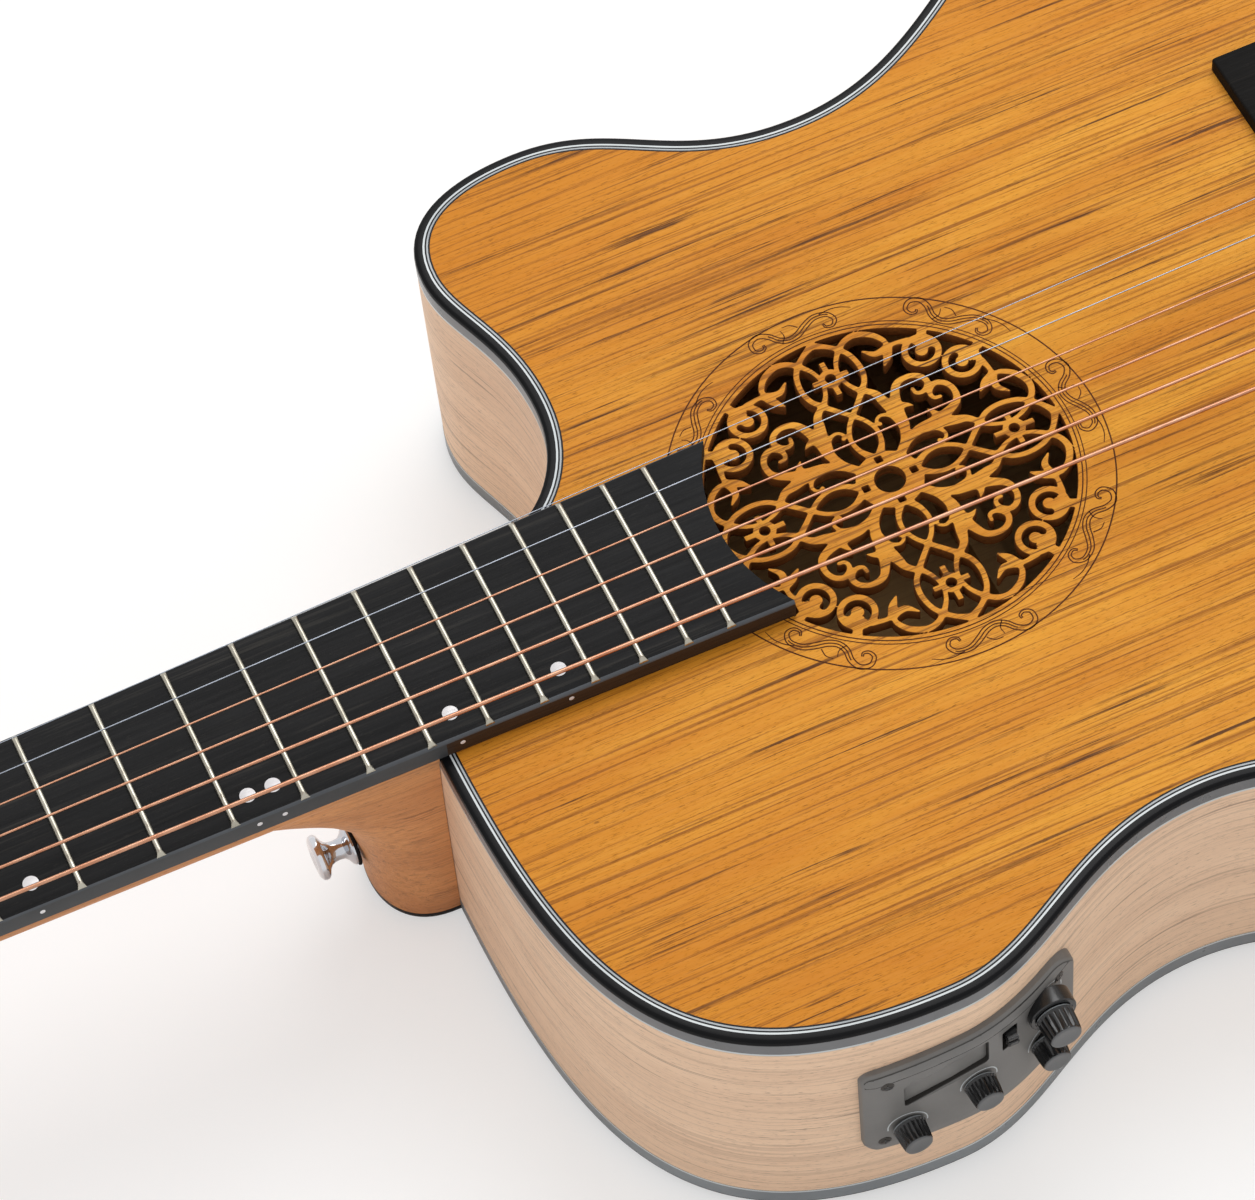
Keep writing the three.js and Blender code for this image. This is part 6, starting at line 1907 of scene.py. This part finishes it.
@dataclass
class Preamp:
    """The grey panel in the bass side with its window, screws, four knobs and slide switch."""

    finishes: Finishes
    body: Body
    front: float = 61.5
    tail: float = 126.5
    top_drop: float = 18.0
    height: float = 43.0
    thickness: float = 3.0
    front_radius: float = 3.5
    tail_radius: float = 9.0
    band: float = 3.4
    fold: float = 2.4
    window_lean: float = 0.26
    corner_drop: float = 4.0
    window: tuple[float, float, float, float] = (72.3, 95.9, 27.0, 10.0)
    recess: float = 1.4
    knobs: tuple[tuple[str, str, float, float, float, float], ...] = (
        ("bass_knob", "bass_control", 72.8, 50.0, 4.5, 6.4),
        ("middle_knob", "middle_control", 93.0, 42.5, 4.5, 6.4),
        ("volume_knob", "volume_control", 115.2, 28.0, 5.1, 7.0),
        ("treble_knob", "treble_control", 114.4, 46.0, 4.5, 6.4),
    )
    collared: int = 2
    knob_gap: float = 0.3
    collar_radius: float = 6.6
    collar_height: float = 2.6
    switch_at: float = 102.7
    switch_drop: float = 28.0
    well_depth: float = 2.75
    slider_foot: float = 1.2

    def wall(self, x: float) -> float:
        """Where the bass side's outer face lies at a distance from the neck joint.

        Args:
            x: Distance from the neck joint.

        Returns:
            The side's y.
        """
        loop = self.body.loop
        for a, b in zip(loop, loop[1:]):
            if b.x >= BODY_FRONT + x > a.x and b.y < 0:
                return mix(a.y, b.y, (BODY_FRONT + x - a.x) / (b.x - a.x))
        return -self.body.outline.bass_bout[1]

    def face(self, x: float) -> float:
        """Where the panel's outer face lies, square to the curved side."""
        slope = (self.wall(x + 1) - self.wall(x - 1)) / 2
        return self.wall(x) - self.thickness * math.hypot(1, slope)

    def foot(self, index: int) -> float:
        """Where a knob's foot stands, clear of the panel.

        Args:
            index: The knob's number, from 0.

        Returns:
            The foot's y.
        """
        _, _, x, _, radius, _ = self.knobs[index]
        collar = self.collar_height if index == self.collared else 0.0
        return min(self.face(x + way * radius) for way in (-1, 0, 1)) - self.knob_gap - collar

    def build(self) -> None:
        """Builds the panel and all that sits on it."""
        self.panel()
        for index in range(len(self.knobs)):
            self.knob(index)
        self.switch()

    def panel(self) -> None:
        """The curved panel with its recessed window, sloped upper band, collar and screws; painted shade darkens the
        band and the openings' walls.
        """
        f = self.finishes
        x0, x1 = BODY_FRONT + self.front, BODY_FRONT + self.tail
        high, low = -self.top_drop, -self.top_drop - self.height
        middle = mix(low, high, 0.5)
        radii = (self.tail_radius, self.front_radius, self.front_radius, self.tail_radius)
        loop = rounded_box(x0, x1, low, high, radii, 8)
        loop = [Vector((p.x, p.y - self.sink(p.x) * max((p.y - middle) / (high - middle), 0.0)))
                for p in self.dense(loop)]
        w0, w1, drop, tall = self.window
        lean = self.window_lean

        def leaning(points: list[Vector]) -> list[Vector]:
            """Points of the window, which rises towards the tail."""
            return [Vector((p.x, p.y + (p.x - BODY_FRONT - (w0 + w1) / 2) * lean)) for p in points]

        opening = leaning(rounded_box(BODY_FRONT + w0, BODY_FRONT + w1, -drop - tall, -drop, (0.8,) * 4, 4))[::-1]
        s, half = BODY_FRONT + self.switch_at, 2.3
        slot = rounded_box(s - half, s + half, -self.switch_drop - 6.0, -self.switch_drop + 3.0, (0.5,) * 4, 3)[::-1]

        def lift(p: Vector, depth: float) -> Place:
            """A point of the face, which slopes back towards its upper and front edges.

            Args:
                p: The flat point: x along the guitar, y its height.
                depth: Depth below the panel's face.

            Returns:
                The place.
            """
            slope = max(p.y + self.sink(p.x) - (high - self.band), 0.0) * 0.3 + max(x0 + 3.2 - p.x, 0.0) * 0.3
            slope += 0.35 if p.y < low + self.fold else 0.0
            return (p.x, self.face(p.x - BODY_FRONT) + depth + slope, p.y)

        piece = Piece("preamp_face")
        edge = ((0.9, 0.0), (0.35, 0.15), (0.0, 0.6), (0.0, self.thickness + 1.0))
        cut = ((0.15, 0.0), (0.0, 0.15), (0.0, self.recess), (0.0, self.thickness + 1.0))
        # The walls of the window and the switch slot take slot 1: painted shade in the recesses.
        piece.cut_sheet(loop, [opening, slot], lift, edge, cut, spacing=1.3, slots=(0, 0, 1, 0))
        self.painted_upper_shade(piece, lift)
        glass = Piece("preamp_window")
        sides = (BODY_FRONT + w0 + 0.05, BODY_FRONT + w1 - 0.05, -drop - tall + 0.05, -drop - 0.05)
        loop_in = leaning(rounded_box(*sides, (0.8,) * 4, 4))
        pane = ((0.0, 0.0), (0.0, 0.8))

        def sunk(p: Vector, depth: float) -> Place:
            """A point of the window, which lies deeper than the panel's face."""
            return (p.x, self.face(p.x - BODY_FRONT) + self.recess + depth, p.y)

        glass.cut_sheet(loop_in, [], sunk, pane, spacing=2.4)
        glass.build([f.panel])
        well = Piece("switch_well")
        floor = []
        for way, up in CORNERS:
            x = s + way * (half + 0.4)
            floor.append((x, self.face(x - BODY_FRONT) + self.well_depth, -self.switch_drop - 1.5 + 4.9 * up))
        well.loft([floor, [(x, y + 0.15, z) for x, y, z in floor]])
        well.build([f.knob])
        front, tail = self.front, self.tail
        screws = (
            (front + 6.4, high - 8.8), (tail - 6.2, high - 6.0),
            (front + 5.0, low + 5.4), (tail - 6.2, low + 6.4),
        )
        for x, z in screws:
            self.screw(piece, x, z)
        # Pale arcs round the knobs' upper sides: painted highlights.
        for _, _, x, drop, radius, _ in self.knobs:
            self.knob_foot_highlight(piece, x, drop, radius + 0.9)
        _, _, x, drop, _, _ = self.knobs[self.collared]
        base = self.foot(self.collared) + self.knob_gap
        r, origin = self.collar_radius, (BODY_FRONT + x, base, -drop)
        piece.turned(((r - 1.2, -0.02), (r - 0.25, 0.02), (r, 0.35), (r, 4.8)), origin, (0, 1, 0), 48, [2] * 3)
        piece.turned(((0.0, 0.25), (r - 1.2, 0.25), (r - 1.2, -0.02)), origin, (0, 1, 0), 48, [2] * 2)
        piece.build([f.panel, f.panel_painted_shade, f.knob, f.screw, f.white], replaced=["preamp_panel"],
                    slot="panel_plastic", sharp=30)

    def painted_upper_shade(self, piece: Piece, lift: Lift) -> None:
        """A strip of painted shade on the slope along the panel's upper edge, which follows the round corners.

        Args:
            piece: The panel.
            lift: Lays a flat point on the panel's face.
        """
        upper, lower = [], []
        for i in range(81):
            x = BODY_FRONT + mix(self.front + 0.8, self.tail - 0.8, i / 80)
            corner = 0.0
            from_front, from_tail = x - BODY_FRONT - self.front, self.tail + BODY_FRONT - x
            for radius, inward in ((self.front_radius, from_front), (self.tail_radius, from_tail)):
                if inward < radius:
                    corner = radius - math.sqrt(radius**2 - (radius - inward) ** 2)
            top = -self.top_drop - self.sink(x) - corner - 0.75
            foot = min(-self.top_drop - self.sink(x) - self.band - 1.0, top - 0.3)
            upper.append(piece.point(lift(Vector((x, top)), -0.04)))
            lower.append(piece.point(lift(Vector((x, foot)), -0.04)))
        piece.band(lower, upper, 1, closed=False)

    def sink(self, x: float) -> float:
        """How far the upper edge falls towards the front corner."""
        share = (x - BODY_FRONT - self.front) / (self.tail - self.front)
        return self.corner_drop * max(1 - share * 1.4, 0.0) ** 1.5

    @staticmethod
    def dense(loop: Loop, longest: float = 2.0) -> list[Vector]:
        """A loop with points added where two neighbours lie far apart.

        Args:
            loop: The loop's points.
            longest: The longest stretch that stays as it is.

        Returns:
            The points and those added.
        """
        points = []
        for a, b in zip(loop, [*loop[1:], loop[0]]):
            steps = max(1, math.ceil((b - a).length / longest))
            points += [a.lerp(b, i / steps) for i in range(steps)]
        return points

    def knob_foot_highlight(self, piece: Piece, x: float, drop: float, radius: float) -> None:
        """A pale arc on the panel round a knob's upper side: a painted highlight at the knob's foot.

        Args:
            piece: The panel.
            x: The knob's distance from the neck joint.
            drop: Its distance below the soundboard.
            radius: The arc's radius.
        """
        turns = [math.radians(mix(-8, 188, i / 40)) for i in range(41)]
        rows = []
        near, far = radius - 0.17, radius + 0.17
        for reach, out in ((near, -0.2), (near, 0.03), (far, 0.03), (far, -0.2)):
            spots = [(x + reach * math.cos(t), reach * math.sin(t) - drop) for t in turns]
            rows.append(piece.row((BODY_FRONT + a, self.face(a) - out, b) for a, b in spots))
        for a, b in zip(rows, rows[1:]):
            piece.band(a, b, 4, closed=False)

    def screw(self, piece: Piece, x: float, z: float) -> None:
        """A dark screw with a cross in its head, the cross a black block of painted shade.

        Args:
            piece: The panel.
            x: Distance from the neck joint.
            z: Height.
        """
        slope = (self.face(x + 1) - self.face(x - 1)) / 2
        out = Vector((slope, -1.0, 0.0)).normalized()
        y = self.face(x) + (max(z - (-self.top_drop - self.band), 0.0) * 0.28)
        origin = Vector((BODY_FRONT + x, y, z))
        piece.turned(((0.0, 0.42), (0.9, 0.38), (1.7, 0.16), (1.9, -0.1), (1.9, -0.8)), origin, out, 28, [3] * 4)
        across = out.cross(Vector((0, 0, 1))).normalized()
        up = across.cross(out)
        # The cross is a black block that stands for the shaded recess: painted shade.
        for a, b in ((across, up), (up, across)):
            corners = [origin + out * 0.46 + a * (1.1 * s) + b * (0.2 * t) for s, t in CORNERS]
            base = [c - out * 0.3 for c in corners]
            piece.loft([base, corners], 2)

    def knob(self, index: int) -> None:
        """A fluted black knob with a half-matt grey cap and a pale line round its foot, which is a painted highlight.

        Args:
            index: The knob's number, from 0.
        """
        name, body, x, drop, radius, length = self.knobs[index]
        f = self.finishes
        piece = Piece(f"{name}_cap")
        foot = self.foot(index)
        flutes, steps = 20, 6
        levels = (
            (-0.02, 1.0, 0.0), (0.35, 1.03, 0.0), (0.7, 1.0, 0.3), (0.95, 0.985, 1.0), (length * 0.55, 0.95, 1.0),
            (length - 0.9, 0.9, 1.0), (length - 0.6, 0.875, 0.3), (length - 0.3, 0.85, 0.0),
        )
        rows = []
        for along, share, cut in levels:
            ring = []
            for k in range(flutes * steps):
                turn = 2 * math.pi * k / (flutes * steps)
                wave = (0.5 - 0.5 * math.cos(turn * flutes)) ** 0.7
                r = radius * share - 0.42 * cut * wave
                ring.append((BODY_FRONT + x + r * math.cos(turn), foot - along, -drop + r * math.sin(turn)))
            rows.append(piece.row(ring))
        # The first band, the pale line round the foot, is a painted highlight.
        for k, (a, b) in enumerate(zip(rows, rows[1:])):
            piece.band(a, b, 2 if k == 0 else 0)
        piece.face(rows[0][::-1], 0)
        cap = (
            (radius * 0.85, length - 0.3), (radius * 0.82, length - 0.08), (radius * 0.77, length),
            (radius * 0.6, length - 0.12), (0.0, length - 0.2),
        )
        origin = (BODY_FRONT + x, foot, -drop)
        piece.turned(cap, origin, (0, -1, 0), flutes * steps, [1] * 4)
        piece.turned(((0.0, -7.0), (2.9, -7.0), (2.9, 0.2)), origin, (0, -1, 0), 24)
        piece.build([f.knob, f.cap, f.grey], body, [name], "black_plastic", sharp=35)

    def switch(self) -> None:
        """The small slide switch with ribs across its finger piece."""
        f = self.finishes
        piece = Piece("switch_slider")
        x, z = BODY_FRONT + self.switch_at, -self.switch_drop
        out = self.wall(self.switch_at) - self.thickness
        half, tall = 1.6, 2.1
        levels = (out + self.slider_foot, out - 1.2, out - 1.25)
        piece.loft([[(x + a * half, y, z + b * tall) for a, b in CORNERS] for y in levels])
        for k in (-1, 0, 1):
            zc = z + k * 1.35
            rib = [(-1.5, -0.5), (1.5, -0.5), (1.4, 0.5), (-1.4, 0.5)]
            lift = (out - 1.0, out - 2.7 + 0.35 * abs(k), out - 3.0 + 0.4 * abs(k))
            shrink = (1.0, 1.0, 0.72)
            piece.loft([[(x + a * s, y, zc + b * s) for a, b in rib] for y, s in zip(lift, shrink)])
        piece.build([f.knob], "selector", ["preamp_switch"], "black_plastic", sharp=30)


@dataclass
class Hardware:
    """Strap button on the heel and the end-pin jack in the tail."""

    finishes: Finishes
    neck: Neck
    button_drop: float = 67.0
    jack_drop: float = 45.0

    def build(self) -> None:
        """Builds both."""
        self.strap_button()
        self.jack()

    def strap_button(self) -> None:
        """A polished button with a dished rim on a dark felt washer."""
        piece = Piece("strap_pin")
        share = (self.button_drop - 5.8) / -self.neck.heel_floor
        reach, _ = self.neck.heel_sizes(share)
        origin = (BODY_FRONT - 0.6 - reach, 0.0, -self.button_drop)
        profile = [
            (0.0, -16.0), (1.7, -15.8), (1.7, 0.0), (5.2, 0.0), (5.75, 0.35), (5.8, 1.0), (5.2, 1.7), (3.9, 2.4),
            (3.05, 3.3), (2.85, 4.6), (2.95, 6.0), (3.4, 7.2), (4.6, 8.1), (6.0, 8.7), (6.5, 9.3), (6.6, 10.0),
            (6.3, 10.8), (5.4, 11.3), (3.2, 11.5), (1.9, 11.1), (0.0, 11.0),
        ]
        piece.turned(profile, origin, (-1, 0, 0), 48)
        piece.turned(((5.9, -0.55), (6.3, -0.3), (6.3, 0.3), (5.8, 0.5), (4.0, 0.5)), origin, (-1, 0, 0), 48, [1] * 4)
        piece.build([self.finishes.chrome, self.finishes.felt], replaced=["heel_strap_button"], slot="chrome")

    def jack(self) -> None:
        """The jack, shaped as an end pin, with its washer and open bore."""
        piece = Piece("jack_pin")
        profile = [
            (3.3, -18.0), (3.3, 11.4), (3.7, 11.9), (5.6, 12.0), (6.9, 11.6), (7.55, 10.7), (7.6, 9.8), (7.1, 9.0),
            (5.9, 8.2), (5.3, 7.2), (5.2, 5.6), (5.4, 4.2), (6.4, 3.0), (8.2, 2.3), (8.6, 1.9), (8.6, 0.3),
            (6.0, 0.3), (6.0, -34.0), (0.0, -34.0), (0.0, -18.0), (3.3, -18.0),
        ]
        piece.turned(profile, (BODY_TAIL, 0.0, -self.jack_drop), (1, 0, 0), 56)
        piece.build([self.finishes.chrome], replaced=["endpin_jack"], slot="chrome")


class Studio:
    """Camera at the photograph's angle, white floor, soft light."""

    location = Vector((-0.41862534, -0.70034645, 1.20358186))
    right = Vector((0.909735, -0.409642, -0.067641))
    down = Vector((-0.377313, -0.747715, -0.546403))
    forward = Vector((0.173253, 0.522604, -0.834786))
    lens = 144.813
    world_strength = 0.78
    key_power = 26.0
    key_size = 1.6
    key_place = Vector((0.55, 0.95, 1.9))
    floor_glow = 0.5

    def camera(self) -> None:
        """Places the camera."""
        data = bpy.data.cameras.new("photo_camera")
        data.sensor_width = 36.0
        data.lens = self.lens
        data.clip_start = 0.01
        camera = bpy.data.objects.new("photo_camera", data)
        turn = Matrix((self.right, -self.down, -self.forward)).transposed().to_4x4()
        camera.matrix_world = Matrix.Translation(self.location) @ turn
        bpy.context.scene.collection.objects.link(camera)
        bpy.context.scene.camera = camera

    def light(self) -> None:
        """A white surround and one large soft lamp."""
        bpy.context.scene.view_settings.view_transform = "Standard"
        world = bpy.data.worlds.new("white_surround")
        bpy.context.scene.world = world
        world.use_nodes = True
        tree = world.node_tree
        background = tree.nodes["Background"]
        background.inputs["Color"].default_value = (1.0, 1.0, 1.0, 1.0)
        path = add_node(tree, "LightPath").outputs
        seen = add_node(tree, "Math", path["Is Camera Ray"], path["Is Glossy Ray"], operation="MAXIMUM")
        seen = add_node(tree, "Math", seen.outputs[0], path["Is Transmission Ray"], operation="MAXIMUM")
        strength = add_node(tree, "MapRange", seen.outputs[0], To_Min=self.world_strength, To_Max=1.0)
        feed(tree, background.inputs["Strength"], strength.outputs["Result"])
        lamp = bpy.data.lights.new("soft_key", "AREA")
        lamp.shape = "DISK"
        lamp.size = self.key_size
        lamp.energy = self.key_power
        key = bpy.data.objects.new("soft_key", lamp)
        key.location = self.key_place
        key.rotation_euler = (-self.key_place).to_track_quat("-Z", "Y").to_euler()
        bpy.context.scene.collection.objects.link(key)

    def floor(self) -> None:
        """The white table top that the guitar lies on."""
        mesh = bpy.data.meshes.new("floor")
        reach = 6.0
        corners = [(-reach, -reach, -0.0004), (reach, -reach, -0.0004), (reach, reach, -0.0004),
                   (-reach, reach, -0.0004)]
        mesh.from_pydata(corners, [], [(0, 1, 2, 3)])
        floor = bpy.data.objects.new("floor", mesh)
        bpy.context.scene.collection.objects.link(floor)
        sheet = Sheet("floor_white")
        grain = sheet.noise((30.0, 30.0, 30.0), 3.0, 0.5)
        sheet.colour(sheet.ramp(grain, [(0.2, (0.93, 0.925, 0.92, 1.0)), (0.8, (0.95, 0.948, 0.945, 1.0))]))
        sheet.set(Roughness=0.85, Specular_IOR_Level=0.1)
        seen = sheet.node("LightPath").outputs["Is Camera Ray"]
        share = sheet.span(seen, 0.0, 1.0, 0.0, self.floor_glow)
        glow = sheet.node("Emission").outputs["Emission"]
        blend = sheet.node("MixShader", share, sheet.shader.outputs["BSDF"], glow)
        feed(sheet.tree, sheet.tree.nodes["Material Output"].inputs["Surface"], blend.outputs["Shader"])
        mesh.materials.append(sheet.material)


def dress_inside(finishes: Finishes) -> None:
    """Gives the CAD nodes that stay, which lie inside or under other pieces, their finishes.

    Args:
        finishes: The guitar's finishes.
    """
    wood = ("neck_block", "tail_block", "top_bracing", "bridge_plate", "back_bracing")
    chosen = {name: finishes.inner for name in wood}
    chosen["truss_rod"] = finishes.rod
    chosen["saddle_pickup"] = finishes.rod
    for name, material in chosen.items():
        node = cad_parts[name]
        for slot in node.material_slots:
            slot.material = material
        log.info("%s keeps its solid with %s", name, material.name)


def main() -> None:
    """Builds the scene in order."""
    logging.basicConfig(level=logging.INFO, format="%(name)s: %(message)s")
    studio = Studio()
    studio.camera()
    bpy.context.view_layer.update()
    finishes = Finishes()
    body = Body(finishes)
    body.build()
    neck = Neck(finishes)
    neck.build()
    tuners = Tuners(finishes)
    tuners.build()
    bridge = Bridge(finishes)
    Strings(finishes, tuners, bridge).build()
    bridge.build()
    Preamp(finishes, body).build()
    Hardware(finishes, neck).build()
    dress_inside(finishes)
    studio.light()
    studio.floor()


if __name__ == "__main__":
    main()
